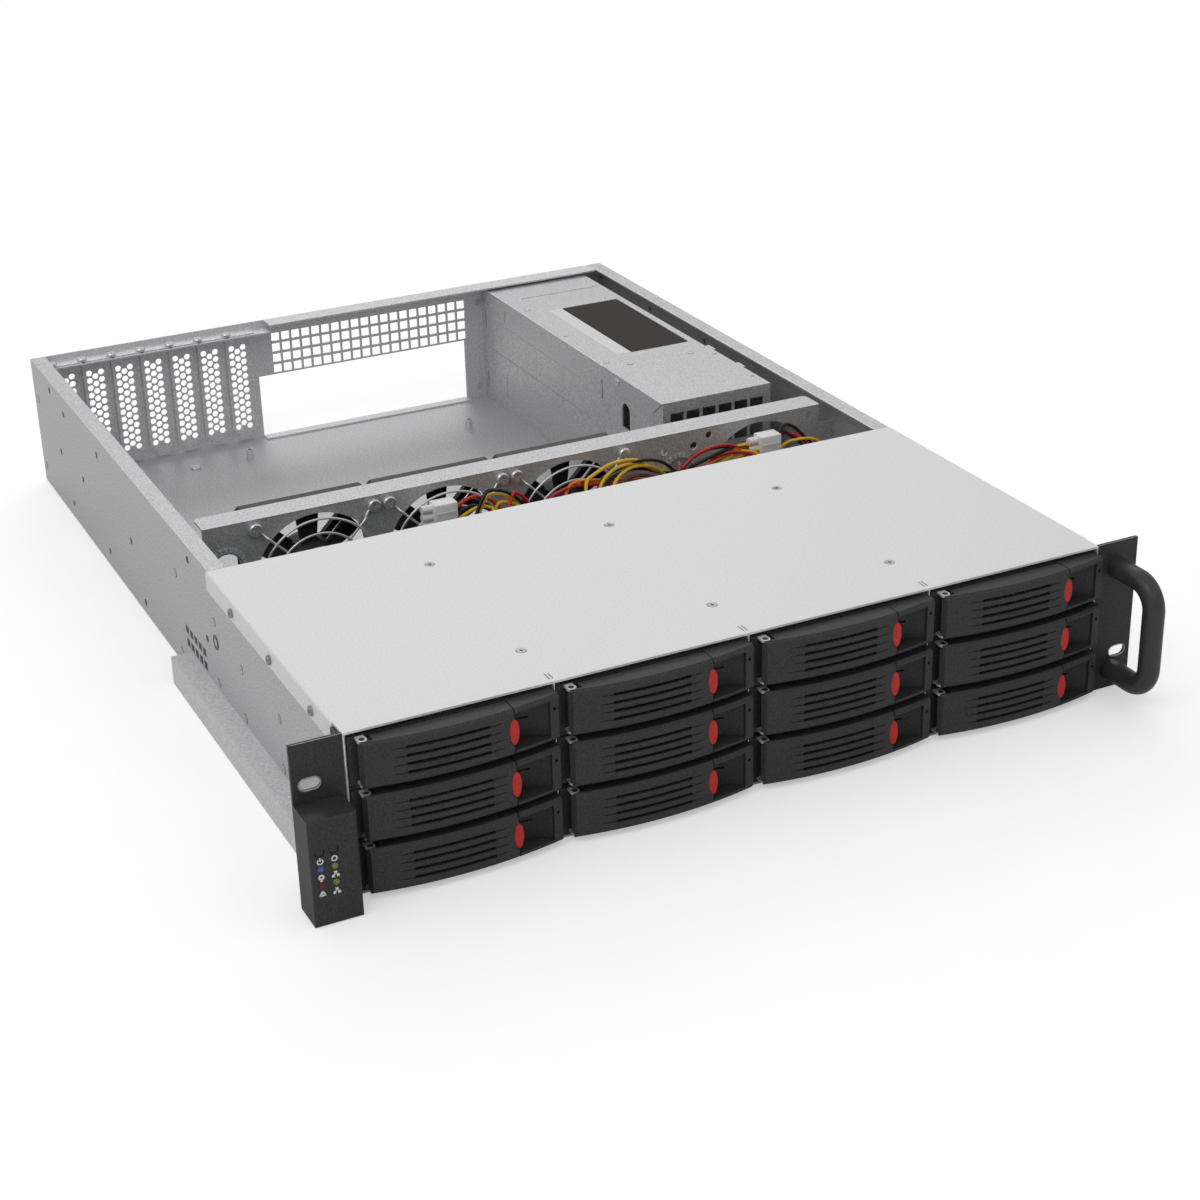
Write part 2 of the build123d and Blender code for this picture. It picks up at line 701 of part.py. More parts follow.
with BuildPart() as psu_cage:
    with BuildSketch(Plane.XY.offset(sheet)):
        with Locations((supply_left, front + supply_front)):
            Rectangle(supply_width, supply_depth, align=(Align.MIN, Align.MIN))
    extrude(amount=supply_height)
    # Hollow head
    with BuildSketch(Plane.XY.offset(sheet + supply_sheet)):
        with Locations((supply_middle, front + supply_front + supply_sheet)):
            Rectangle(
                supply_width - 2 * supply_sheet,
                head_depth - 2 * supply_sheet,
                align=(Align.CENTER, Align.MIN),
            )
    extrude(amount=supply_height - 2 * supply_sheet, mode=Mode.SUBTRACT)
    # Bays for the two modules
    for level in range(2):
        with BuildSketch(Plane.XY.offset(sheet + supply_sheet + level * (module_height + supply_sheet))):
            with Locations((supply_middle, front + bay_start)):
                Rectangle(
                    supply_width - 2 * supply_sheet,
                    body_depth,
                    align=(Align.CENTER, Align.MIN),
                )
        extrude(amount=module_height, mode=Mode.SUBTRACT)
    # Grille in the front face
    with BuildSketch(Plane.XZ.offset(-(front + supply_front + 2 * supply_sheet))):
        with Locations((supply_middle, sheet + supply_height - 7)):
            with GridLocations(grille_pitch, 0, grille_count, 1):
                Rectangle(*grille_hole, align=(Align.CENTER, Align.MAX))
    extrude(amount=4 * supply_sheet, mode=Mode.SUBTRACT)
    # Slot, arched hook hole and the slits beside the rear post in the left side
    with BuildSketch(Plane.YZ.offset(supply_left - 1)):
        with Locations((front + bay_start + 3.7, 68.5)):
            Rectangle(1.6, 13.6)
        with Locations((front + bay_start - 31, 52)):
            Rectangle(11, 12, align=(Align.CENTER, Align.MIN))
        with Locations((front + bay_start - 31, 64)):
            Circle(5.5)
        for height in post_slits:
            with Locations((front + body_depth - 8, height)):
                Rectangle(1.2, 13)
    extrude(amount=supply_sheet + 1.5, mode=Mode.SUBTRACT)
    # Stamped panels, and the seam between the two levels
    with BuildSketch(Plane.YZ.offset(supply_left + stamp_depth)):
        for low, high in stamp_levels:
            with Locations((front + stamp_start, low)):
                RectangleRounded(stamp_length, high - low, 4, align=(Align.MIN, Align.MIN))
        with Locations((front + seam[0], sheet + supply_sheet + module_height)):
            Rectangle(seam[1], seam[2], align=(Align.MIN, Align.CENTER))
    extrude(amount=-1, mode=Mode.SUBTRACT)
    # Cover over the head, hooked in on the right and folded down on the left
    with BuildSketch(Plane.XY.offset(sheet + supply_height)):
        with Locations((supply_left - head_cover, front + supply_front)):
            Rectangle(supply_width + head_cover, head_depth, align=(Align.MIN, Align.MIN))
        for place in tab_places:
            with Locations((supply_left + supply_width, front + place)):
                Rectangle(4, 9)
        for place in hook_holes:
            with Locations((supply_left + supply_width - 3.4, front + place)):
                Circle(1.2, mode=Mode.SUBTRACT)
    extrude(amount=head_cover)
    cover_top = sheet + supply_height + head_cover
    with BuildSketch(Plane.YZ.offset(supply_left + touch)):
        with BuildLine():
            Polyline(
                (front + supply_front, cover_top),
                (front + supply_front + cover_corner, cover_top - cover_drop),
                (front + cover_step, cover_top - cover_drop),
                (front + cover_step, cover_top),
                close=True,
            )
        make_face()
    extrude(amount=-head_cover - touch)
psu_cage.part.label = "psu_cage"
export_step(psu_cage.part, "parts/psu_cage.step")

# Supply modules: hollow boxes with a vented rear face, mains inlet and grip
module_wall = 1.2
module_width = supply_width - 2 * supply_sheet - 2 * module_gap
module_body = module_height - 2 * module_gap
module_depth = rear - (front + bay_start) - 2
grip_bar = 5
grip_span = 30
inlet = (27, 20)
outlet_radius = 16
module_names = ["psu_module_lower", "psu_module_upper"]

for level, name in enumerate(module_names):
    middle = sheet + supply_sheet + level * (module_height + supply_sheet) + module_height / 2
    with BuildPart() as psu_module:
        with BuildSketch(Plane.XZ.offset(-rear)):
            with Locations((supply_middle, middle)):
                Rectangle(module_width, module_body)
        extrude(amount=module_depth)
        # Open inner end, where the air comes in
        with BuildSketch(Plane.XZ.offset(-(rear - module_wall))):
            with Locations((supply_middle, middle)):
                Rectangle(module_width - 2 * module_wall, module_body - 2 * module_wall)
        extrude(amount=module_depth, mode=Mode.SUBTRACT)
        # Fan outlet bars, beside the mains inlet
        with BuildSketch(Plane.XZ.offset(-(rear + 1))):
            with Locations((supply_middle - 17, middle)):
                for step in range(-3, 4):
                    with Locations((0, step * 4.6)):
                        Rectangle(2 * (outlet_radius ** 2 - (step * 4.6) ** 2) ** 0.5, 2.6)
        extrude(amount=module_wall + 2, mode=Mode.SUBTRACT)
        with BuildSketch(Plane.XZ.offset(-rear)):
            with Locations((supply_middle + 20, middle)):
                Rectangle(*inlet)
        extrude(amount=20)
        with BuildSketch(Plane.XZ.offset(-(rear + 1))):
            with Locations((supply_middle + 20, middle)):
                Rectangle(inlet[0] - 3, inlet[1] - 3)
        extrude(amount=16, mode=Mode.SUBTRACT)
        # Grip between the outlet and the inlet
        with BuildSketch(Plane.YZ.offset(supply_middle + 1.5)):
            with Locations((rear, middle)):
                Rectangle(grip_reach, grip_span, align=(Align.MIN, Align.CENTER))
                Rectangle(
                    grip_reach - grip_bar,
                    grip_span - 2 * grip_bar,
                    align=(Align.MIN, Align.CENTER),
                    mode=Mode.SUBTRACT,
                )
        extrude(amount=grip_bar / 2, both=True)
    psu_module.part.label = name
    export_step(psu_module.part, f"parts/{name}.step")

# Wiring harness: two nylon plugs and their leads, and two edge grommets in the fan wall
plug_size = (21, 22, 11)
plug_middles = [(-64, 248, 70), (151, 246, 71)]
grommet_wall = 2
lead = 2.4
lead_routes = [
    [
        (-53.5, 247, 74), (-42, 248, 77), (-30, 245, 78), (-19, 238, 74), (-13, 227, 66),
        (-11, 213, 57), (-11, 199, 50), (-11, 186, 50),
    ],
    [
        (-53.5, 249, 68), (-43, 250, 72), (-32, 249, 73), (-21, 243, 69), (-14, 232, 60),
        (-13, 217, 52), (-14, 201, 47), (-14, 186, 47),
    ],
    [
        (129, 313, 28), (129, 301, 28), (120, 291, 39), (110, 281, 51), (101, 270, 60), (96, 258, 67),
        (82, 248, 76), (67, 242, 80), (51, 240, 79), (37, 235, 72), (27, 225, 62), (22, 212, 54),
        (21, 199, 50), (21, 186, 50),
    ],
    [
        (133, 313, 33), (133, 302, 33), (124, 292, 43), (114, 284, 51), (105, 274, 57), (99, 262, 60),
        (87, 251, 68), (73, 243, 74), (56, 238, 72), (43, 231, 65), (33, 220, 57), (25, 206, 48),
        (25, 186, 48),
    ],
    [
        (137, 313, 28), (137, 301, 28), (126, 290, 41), (116, 282, 53), (107, 271, 61), (103, 258, 68),
        (99, 246, 79), (108, 236, 78), (115, 225, 70), (116, 211, 59), (113, 199, 50), (113, 186, 50),
    ],
    [
        (161.5, 247, 73), (173, 248, 76), (183, 241, 73), (184, 228, 65), (173, 216, 57), (158, 206, 52),
        (146, 197, 50), (146, 186, 50),
    ],
]


def route_radii(points):
    radii = []
    for before, corner, after in zip(points, points[1:], points[2:]):
        arriving = Vector(*corner) - Vector(*before)
        leaving = Vector(*after) - Vector(*corner)
        half_turn = radians(arriving.get_angle(leaving)) / 2
        radii.append(0.45 * min(arriving.length, leaving.length) / tan(half_turn))
    return radii


with BuildPart() as wiring_harness:
    for x, y, z in plug_middles:
        with Locations((x, front + y, z)):
            Box(plug_size[0], plug_size[2], plug_size[1])
    for x, z in cable_holes:
        with BuildSketch(Plane.XZ.offset(-(front + wall_y + 2 * sheet))):
            with Locations((x, z)):
                RegularPolygon(cable_hole - touch, 16)
                RegularPolygon(cable_hole - grommet_wall, 16, mode=Mode.SUBTRACT)
        extrude(amount=3 * sheet)
    for route in lead_routes:
        points = [(x, front + y, z) for x, y, z in route]
        radii = route_radii(points)
        print("lead radii", [round(radius, 1) for radius in radii])
        with BuildLine() as lead_path:
            FilletPolyline(*points, radius=radii)
        with BuildSketch(Plane(origin=points[0], z_dir=lead_path.line % 0)):
            RegularPolygon(lead / 2, 6)
        sweep(path=lead_path.line)
wiring_harness.part.label = "wiring_harness"
export_step(wiring_harness.part, "parts/wiring_harness.step")

# Fasteners: cover screws, bracket screws, guard screws and board standoffs
board_holes = [
    (x, y - (board_offset if x > 0 and y == board_hole_y[-1] else 0))
    for x in board_hole_x
    for y in board_hole_y
]

with BuildPart() as fasteners:
    for x, y in cover_screw_places:
        with Locations((x, front + y, body_height)):
            Cone(screw_shank, screw_head, sheet, align=(Align.CENTER, Align.CENTER, Align.MAX))
        with Locations((x, front + y, wall_top)):
            Cylinder(screw_shank, boss_height - 1, align=(Align.CENTER, Align.CENTER, Align.MAX))
    for side in (-1, 1):
        with BuildSketch(Plane.YZ.offset(side * (half + sheet))):
            for place in flap_screw_places:
                with Locations((front + place, flap_screw_height)):
                    RegularPolygon(screw_head, 8)
        extrude(amount=side * 1.6)
    for slot in range(slot_brackets_count):
        x = bracket_first + slot * bracket_pitch - 6
        with BuildSketch(Plane.XY.offset(ledge_height + sheet + bracket_sheet)):
            with Locations((x, rear - 8)):
                RegularPolygon(3, 8)
        extrude(amount=1.8)
    for x in fan_middles:
        with BuildSketch(Plane.XZ.offset(-(front + wall_y - wire))):
            with Locations((x, fan_height)):
                with GridLocations(fan_hole_spacing, fan_hole_spacing, 2, 2):
                    RegularPolygon(eye_radius, 8)
        extrude(amount=2)
    for x, y in board_holes:
        with BuildSketch(Plane.XY.offset(sheet)):
            with Locations((x, front + y)):
                RegularPolygon(standoff_radius, 6)
                Circle(standoff_hole, mode=Mode.SUBTRACT)
        extrude(amount=standoff_height)
fasteners.part.label = "fasteners"
export_step(fasteners.part, "parts/fasteners.step")

# Tray parts are drawn once about the tray's left edge, front plane and middle height
bow_centre = (bow_middle, bow_radius - bow_crown)
lever_inner_height = bezel_height - 2 * lever_wall

# Engraved lines that taper away from the ends of the vent slots
with BuildPart() as groove_shape:
    with BuildSketch(Plane.XY.offset(-bezel_height / 2)):
        with Locations(bow_centre):
            Circle(bow_radius + 1)
            Circle(bow_radius - groove_depth, mode=Mode.SUBTRACT)
    extrude(amount=bezel_height)
    with BuildSketch(Plane.XZ):
        for step in range(slot_count):
            height = (step - (slot_count - 1) / 2) * slot_pitch
            for end in (-1, 1):
                groove_start = slot_middle + end * (slot_width / 2 - 0.2)
                with BuildLine():
                    Polyline(
                        (groove_start, height + groove_height / 2),
                        (groove_start, height - groove_height / 2),
                        (groove_start + end * groove_length, height),
                        close=True,
                    )
                make_face()
    extrude(amount=2 * bow_crown, mode=Mode.INTERSECT)

with BuildPart() as lever_shape:
    with BuildSketch(Plane.XY.offset(-bezel_height / 2)):
        with Locations(bow_centre):
            Circle(bow_radius)
        with BuildLine():
            Polyline(
                (hinge_x - 1, -2 * bow_crown),
                (lever_length, -2 * bow_crown),
                (lever_length, lever_back),
                (hinge_x, lever_back),
                (hinge_x - 2.8, -5.5),
                (hinge_x - 1, -8.6),
                close=True,
            )
        make_face(mode=Mode.INTERSECT)
    extrude(amount=bezel_height)
    # Front edges are bevelled top and bottom
    bowed = lever_shape.edges().filter_by(GeomType.CIRCLE)
    chamfer(bowed, length=1.3)
    # Hollow from behind
    with BuildSketch(Plane.XY.offset(-lever_inner_height / 2)):
        with Locations(bow_centre):
            Circle(bow_radius - lever_wall)
        with Locations((hinge_x + 4.5, 0)):
            Rectangle(
                lever_length - hinge_x - 4.5 - lever_wall,
                2 * bow_crown,
                align=(Align.MIN, Align.CENTER),
                mode=Mode.INTERSECT,
            )
    extrude(amount=lever_inner_height, mode=Mode.SUBTRACT)
    # Room for the hinge ears above and below the boss
    with BuildSketch(Plane.XY.offset(-bezel_height / 2)):
        with Locations((hinge_x - 5, hinge_y - hinge_ear - 0.4)):
            Rectangle(9.5, 12, align=(Align.MIN, Align.MIN))
    extrude(amount=(bezel_height - hinge_boss_height) / 2, mode=Mode.SUBTRACT)
    with BuildSketch(Plane.XY.offset(bezel_height / 2)):
        with Locations((hinge_x - 5, hinge_y - hinge_ear - 0.4)):
            Rectangle(9.5, 12, align=(Align.MIN, Align.MIN))
    extrude(amount=-(bezel_height - hinge_boss_height) / 2, mode=Mode.SUBTRACT)
    # Vent slots
    with BuildSketch(Plane.XZ.offset(4)):
        with Locations((slot_middle, 0)):
            with GridLocations(0, slot_pitch, 1, slot_count):
                Rectangle(slot_width, slot_height)
    extrude(amount=2 * bow_crown, mode=Mode.SUBTRACT)
    add(groove_shape.part, mode=Mode.SUBTRACT)
    # Notch for the release button
    with BuildSketch(Plane.XZ.offset(0)):
        with Locations((release_x, 0)):
            Ellipse(release_width / 2 + release_gap, release_height / 2 + release_gap)
    extrude(amount=2 * bow_crown, mode=Mode.SUBTRACT)
    # Hinge pin
    with Locations((hinge_x, hinge_y, 0)):
        Cylinder(hinge_pin, bezel_height)

with BuildPart() as tray_shape:
    tray_base = -row_pitch / 2 + shelf + tray_lift
    with BuildSketch(Plane.XZ.offset(-front_plate)):
        with Locations((0, tray_base)):
            Rectangle(tray_width, bezel_height / 2 - tray_base, align=(Align.MIN, Align.MIN))
        # Air window behind the lever
        with Locations((slot_middle, 0)):
            Rectangle(slot_width + 10, 16, mode=Mode.SUBTRACT)
    extrude(amount=front_plate)
    # Latch block with its finger pocket
    with BuildSketch(Plane.XY.offset(-bezel_height / 2)):
        with Locations(bow_centre):
            Circle(bow_radius)
        with Locations((lever_length + split_gap, 0)):
            Rectangle(
                tray_width - lever_length - split_gap,
                2 * bow_crown,
                align=(Align.MIN, Align.MAX),
                mode=Mode.INTERSECT,
            )
    extrude(amount=bezel_height)
    bowed = tray_shape.edges().filter_by(GeomType.CIRCLE)
    chamfer(bowed, length=1.3)
    with BuildSketch(Plane.XY.offset(-bezel_height / 2 + lever_wall + 0.5)):
        with BuildLine():
            l1 = Polyline((lever_length - 1, -2 * bow_crown), (lever_length - 1, 0), (lever_length + 4, 0))
            l2 = ThreePointArc(l1 @ 1, (lever_length + 14, -1.6), (tray_width - 5, -6))
            Polyline(l2 @ 1, (tray_width - 5, -2 * bow_crown), l1 @ 0)
        make_face()
    extrude(amount=bezel_height - 2 * lever_wall - 1, mode=Mode.SUBTRACT)
    # Slits in the pocket's floor, and the bay's lamp hole beside it
    with BuildSketch(Plane.XZ.offset(-front_plate / 2)):
        for offset_x, length, height in pocket_slits:
            with Locations((lever_length + offset_x, height)):
                Rectangle(length, pocket_slit_height, align=(Align.MIN, Align.CENTER))
        with Locations((tray_width - 2.5, 5)):
            Circle(bay_lamp)
    extrude(amount=bow_crown, mode=Mode.SUBTRACT)
    # Hole for the release button's stem
    with BuildSketch(Plane.XZ.offset(-front_plate)):
        with Locations((release_x, 0)):
            Rectangle(stem_width + 0.4, stem_height + 0.4)
    extrude(amount=2 * front_plate, mode=Mode.SUBTRACT)
    # Hinge ears above and below the lever's boss
    for side in (-1, 1):
        ear_at = Plane.XY.offset(side * bezel_height / 2 - (hinge_ear_thickness if side > 0 else 0))
        with BuildSketch(ear_at):
            with Locations((hinge_x, hinge_y)):
                Circle(hinge_ear + 0.3)
                Rectangle(2 * hinge_ear, -hinge_y + touch, align=(Align.CENTER, Align.MIN))
                Circle(hinge_pin + hinge_clearance, mode=Mode.SUBTRACT)
        extrude(amount=hinge_ear_thickness)
    # Side rails, floor and rear bar
    with BuildSketch(Plane.XY.offset(tray_base)):
        with Locations((0, front_plate - touch)):
            Rectangle(tray_width, tray_length, align=(Align.MIN, Align.MIN))
        with Locations((tray_width / 2, 14)):
            Rectangle(tray_width - 24, tray_length - 24, align=(Align.CENTER, Align.MIN), mode=Mode.SUBTRACT)
    extrude(amount=tray_floor)
    with BuildSketch(Plane.XY.offset(tray_base)):
        with Locations((0, front_plate - touch)):
            Rectangle(rail, tray_length, align=(Align.MIN, Align.MIN))
        with Locations((tray_width, front_plate - touch)):
            Rectangle(rail, tray_length, align=(Align.MAX, Align.MIN))
    extrude(amount=rail_height)

# Release button: an almond-shaped key with a stem that is caught behind the front plate
with BuildPart() as release_shape:
    with BuildSketch(Plane.XZ.offset(0.3 + release_travel)):
        with Locations((release_x, 0)):
            Ellipse(release_width / 2, release_height / 2)
    extrude(amount=bow_crown - 2.1 - release_travel)
    with BuildSketch(Plane.XZ.offset(-(front_plate + 0.3))):
        with Locations((release_x, 0)):
            Rectangle(stem_width, stem_height)
    extrude(amount=front_plate + 0.6 + release_travel)
    with BuildSketch(Plane.XZ.offset(-(front_plate + 1.3))):
        with Locations((release_x, 0)):
            Rectangle(stem_width + 2, stem_height + 2)
    extrude(amount=1)

tray_parts = [("tray", tray_shape), ("lever", lever_shape), ("release", release_shape)]
for row, row_name in enumerate(row_names):
    for column in range(columns):
        tray_left = bay_middle(column) - tray_width / 2
        for kind, shape in tray_parts:
            with BuildPart() as placed:
                with Locations((tray_left, front, row_middle(row))):
                    add(shape.part)
            placed.part.label = f"{kind}_{row_name}_{column + 1}"
            export_step(placed.part, f"parts/{kind}_{row_name}_{column + 1}.step")
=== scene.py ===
# %% [markdown]
# # A two-unit rack server, open at the rear
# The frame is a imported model: every moving piece is already there, at its real size, in metres.
# This notebook gives it its finishes and adds what is too fine for the solids: leads, screws,
# wire guards, icons and a bare label plate. X is to the right, Y to the rear and Z up.

# %% Load the frame and keep its box
import math
import bmesh
import bpy
from mathutils import Matrix, Vector


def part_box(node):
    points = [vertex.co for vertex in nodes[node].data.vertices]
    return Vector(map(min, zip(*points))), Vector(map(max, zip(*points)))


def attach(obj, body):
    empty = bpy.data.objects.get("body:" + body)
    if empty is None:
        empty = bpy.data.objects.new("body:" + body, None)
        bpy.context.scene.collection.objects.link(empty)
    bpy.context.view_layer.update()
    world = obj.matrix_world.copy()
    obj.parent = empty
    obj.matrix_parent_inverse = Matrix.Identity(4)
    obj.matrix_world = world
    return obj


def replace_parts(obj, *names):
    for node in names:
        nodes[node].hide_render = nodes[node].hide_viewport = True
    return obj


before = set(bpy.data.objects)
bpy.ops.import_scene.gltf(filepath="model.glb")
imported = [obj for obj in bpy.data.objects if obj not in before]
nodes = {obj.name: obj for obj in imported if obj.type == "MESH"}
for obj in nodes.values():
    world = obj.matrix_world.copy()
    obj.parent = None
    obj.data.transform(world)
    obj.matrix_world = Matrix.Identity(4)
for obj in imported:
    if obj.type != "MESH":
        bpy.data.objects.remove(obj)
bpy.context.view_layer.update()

MM = 0.001
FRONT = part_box("rack_ears")[0].y / MM  # the plane of the ears, in millimetres
HALF = 215.0                           # half the width of the body
TOP = 88.0                             # two rack units
REAR = 600.0                           # the outer face of the rear wall
SHEET = 1.2                            # the thickness of the folded sheet
BAY_PITCH = 107.15                     # from one column of trays to the next
FIRST_TRAY = -213.125                  # the left end of the first column
CAMERA_PLACE = (-0.5038, -1.1679, 0.5854)


def place(x, y, z):
    """A point from millimetres, with y counted back from the plane of the ears."""
    return Vector((x, FRONT + y, z)) * MM


# %% [markdown]
# ## The camera
# The photograph is taken from the front left and above, with a short telephoto lens. The camera
# stands where a fit to the edges of the body puts it, and its shift is a fraction of a percent.

# %% Camera at the photograph's place
camera_data = bpy.data.cameras.new("camera")
camera_data.sensor_width = 36.0
camera_data.lens = 67.8
camera_data.shift_x = 0.0016
camera_data.shift_y = -0.0028
camera_data.clip_start, camera_data.clip_end = 0.05, 20.0
camera = bpy.data.objects.new("camera", camera_data)
bpy.context.scene.collection.objects.link(camera)
bpy.context.scene.camera = camera

turn, tilt, roll = (math.radians(angle) for angle in (-25.70, 25.26, -1.53))
back = Vector((math.sin(turn) * math.cos(tilt), -math.cos(turn) * math.cos(tilt), math.sin(tilt)))
right = Vector((0, 0, 1)).cross(back).normalized()
up = back.cross(right)
rolled_right = right * math.cos(roll) + up * math.sin(roll)
rolled_up = up * math.cos(roll) - right * math.sin(roll)
camera.matrix_world = Matrix((
    (rolled_right.x, rolled_up.x, back.x, CAMERA_PLACE[0]),
    (rolled_right.y, rolled_up.y, back.y, CAMERA_PLACE[1]),
    (rolled_right.z, rolled_up.z, back.z, CAMERA_PLACE[2]),
    (0, 0, 0, 1),
))
print("camera at", tuple(round(c, 3) for c in camera.matrix_world.translation))

# %% [markdown]
# ## Light
# A product photograph of sheet metal is lit by large white surfaces, because bare metal shows
# what stands round it. The world is a pale dome, brighter above, and two large soft lamps give
# the bent edges their bright lines. The background is white to the camera alone.

# %% World, lamps and floor
world = bpy.data.worlds.new("studio")
bpy.context.scene.world = world
world.use_nodes = True
tree = world.node_tree
tree.nodes.clear()
sky = tree.nodes.new("ShaderNodeBackground")
backdrop = tree.nodes.new("ShaderNodeBackground")
choose = tree.nodes.new("ShaderNodeMixShader")
paths = tree.nodes.new("ShaderNodeLightPath")
direction = tree.nodes.new("ShaderNodeTexCoord")
split = tree.nodes.new("ShaderNodeSeparateXYZ")
ramp = tree.nodes.new("ShaderNodeValToRGB")
raise_up = tree.nodes.new("ShaderNodeMapRange")
out = tree.nodes.new("ShaderNodeOutputWorld")
raise_up.inputs["From Min"].default_value = -1.0
ramp.color_ramp.elements[0].position = 0.42
ramp.color_ramp.elements[0].color = (0.45, 0.45, 0.46, 1)
ramp.color_ramp.elements[1].position = 0.85
ramp.color_ramp.elements[1].color = (1.0, 1.0, 1.0, 1)
backdrop.inputs["Color"].default_value = (1, 1, 1, 1)
sky.inputs["Strength"].default_value = 0.62
tree.links.new(direction.outputs["Generated"], split.inputs[0])
tree.links.new(split.outputs["Z"], raise_up.inputs["Value"])
tree.links.new(raise_up.outputs["Result"], ramp.inputs["Fac"])
tree.links.new(ramp.outputs["Color"], sky.inputs["Color"])
tree.links.new(paths.outputs["Is Camera Ray"], choose.inputs["Fac"])
tree.links.new(sky.outputs[0], choose.inputs[1])
tree.links.new(backdrop.outputs[0], choose.inputs[2])
tree.links.new(choose.outputs[0], out.inputs["Surface"])


def soft_lamp(name, where, aim, size, power):
    data = bpy.data.lights.new(name, "AREA")
    data.shape = "RECTANGLE"
    data.size, data.size_y = size
    data.energy = power
    lamp = bpy.data.objects.new(name, data)
    bpy.context.scene.collection.objects.link(lamp)
    lamp.location = where
    lamp.rotation_mode = "QUATERNION"
    lamp.rotation_quaternion = (Vector(aim) - Vector(where)).to_track_quat("-Z", "Y")


soft_lamp("key", (-1.3, -0.9, 1.9), (0, 0, 0), (1.6, 1.2), 7)
soft_lamp("rear strip", (0.6, 1.7, 1.3), (0, 0.1, 0), (1.8, 0.7), 6)

floor_mesh = bpy.data.meshes.new("floor")
shape = bmesh.new()
bmesh.ops.create_grid(shape, x_segments=1, y_segments=1, size=6.0)
shape.to_mesh(floor_mesh)
shape.free()
floor = bpy.data.objects.new("floor", floor_mesh)
bpy.context.scene.collection.objects.link(floor)

# %% [markdown]
# ## Shared effects
# Sheet steel, powder coat and moulded plastic all have a fine grain. One node group makes it for
# all of them: it puts out a mask and a normal, and each finish sets its own scale and depth. The
# mask spreads the finish between two colours and two values of roughness.

# %% Node group for grain
grain_group = bpy.data.node_groups.new("grain", "ShaderNodeTree")
for name, default in (("Scale", 900.0), ("Depth", 0.1)):
    socket = grain_group.interface.new_socket(name, in_out="INPUT", socket_type="NodeSocketFloat")
    socket.default_value = default
grain_group.interface.new_socket("Mask", in_out="OUTPUT", socket_type="NodeSocketFloat")
grain_group.interface.new_socket("Normal", in_out="OUTPUT", socket_type="NodeSocketVector")
inside = grain_group.nodes
wires = grain_group.links
taken = inside.new("NodeGroupInput")
given = inside.new("NodeGroupOutput")
where = inside.new("ShaderNodeTexCoord")
speck = inside.new("ShaderNodeTexNoise")
speck.inputs["Detail"].default_value = 2.0
bump = inside.new("ShaderNodeBump")
bump.inputs["Distance"].default_value = 0.0002
wires.new(where.outputs["Object"], speck.inputs["Vector"])
wires.new(taken.outputs["Scale"], speck.inputs["Scale"])
wires.new(speck.outputs["Fac"], bump.inputs["Height"])
wires.new(taken.outputs["Depth"], bump.inputs["Strength"])
wires.new(speck.outputs["Fac"], given.inputs["Mask"])
wires.new(bump.outputs["Normal"], given.inputs["Normal"])


def finish(name, dark, light, roughness, metallic=0.0, scale=900.0, depth=0.1, specular=0.5):
    """A finish between two colours, spread by the shared grain, with a spread of roughness."""
    made = bpy.data.materials.new(name)
    made.use_nodes = True
    links, parts = made.node_tree.links, made.node_tree.nodes
    shader = parts["Principled BSDF"]
    shader.inputs["Metallic"].default_value = metallic
    shader.inputs["Specular IOR Level"].default_value = specular
    grain = parts.new("ShaderNodeGroup")
    grain.node_tree = grain_group
    grain.inputs["Scale"].default_value = scale
    grain.inputs["Depth"].default_value = depth
    colour = parts.new("ShaderNodeValToRGB")
    colour.color_ramp.elements[0].position, colour.color_ramp.elements[1].position = 0.3, 0.7
    colour.color_ramp.elements[0].color = (*dark, 1)
    colour.color_ramp.elements[1].color = (*light, 1)
    rough = parts.new("ShaderNodeMapRange")
    rough.inputs["To Min"].default_value, rough.inputs["To Max"].default_value = roughness
    links.new(grain.outputs["Mask"], colour.inputs["Fac"])
    links.new(grain.outputs["Mask"], rough.inputs["Value"])
    links.new(colour.outputs["Color"], shader.inputs["Base Color"])
    links.new(rough.outputs["Result"], shader.inputs["Roughness"])
    links.new(grain.outputs["Normal"], shader.inputs["Normal"])
    return made


def computed(tree, operation, first, second):
    """The result of a math node on a socket and either a number or another socket."""
    node = tree.nodes.new("ShaderNodeMath")
    node.operation = operation
    tree.links.new(first, node.inputs[0])
    if isinstance(second, float):
        node.inputs[1].default_value = second
    else:
        tree.links.new(second, node.inputs[1])
    return node.outputs[0]


def dress(material, *names):
    """Gives CAD nodes a finish."""
    for name in names:
        nodes[name].data.materials.clear()
        nodes[name].data.materials.append(material)


# %% [markdown]
# ## Finishes
# Zinc-coated sheet is pale and satin with a fine speckle. The front is black: powder coat on the
# ears and the handle, moulded plastic on the levers and the tray fronts.

# %% Metal, coat and plastic
zinc = finish(
    "zinc sheet", (0.46, 0.46, 0.47), (0.72, 0.72, 0.73), (0.34, 0.52),
    metallic=0.5, scale=800.0, depth=0.1,
)
cover_sheet = finish(
    "cover sheet", (0.83, 0.83, 0.835), (0.96, 0.96, 0.965), (0.5, 0.65),
    metallic=0.2, scale=1000.0, depth=0.08,
)
rear_zinc = finish(
    "rear zinc sheet", (0.60, 0.60, 0.61), (0.86, 0.86, 0.87), (0.34, 0.52),
    metallic=0.4, scale=800.0, depth=0.1,
)
# The side channel is the same zinc sheet in paler colours with less metal: painted light, for the light
# that falls on its top face.
lit_channel_sheet = finish(
    "channel sheet, painted light", (0.62, 0.62, 0.63), (0.84, 0.84, 0.85), (0.45, 0.6),
    metallic=0.15, scale=800.0, depth=0.1,
)
coat = finish(
    "black coat", (0.022, 0.022, 0.024), (0.052, 0.052, 0.055), (0.38, 0.55),
    scale=1300.0, depth=0.25, specular=0.35,
)
handle_coat = finish(
    "handle coat", (0.036, 0.036, 0.037), (0.050, 0.050, 0.052), (0.28, 0.4),
    scale=1200.0, depth=0.05, specular=0.45,
)
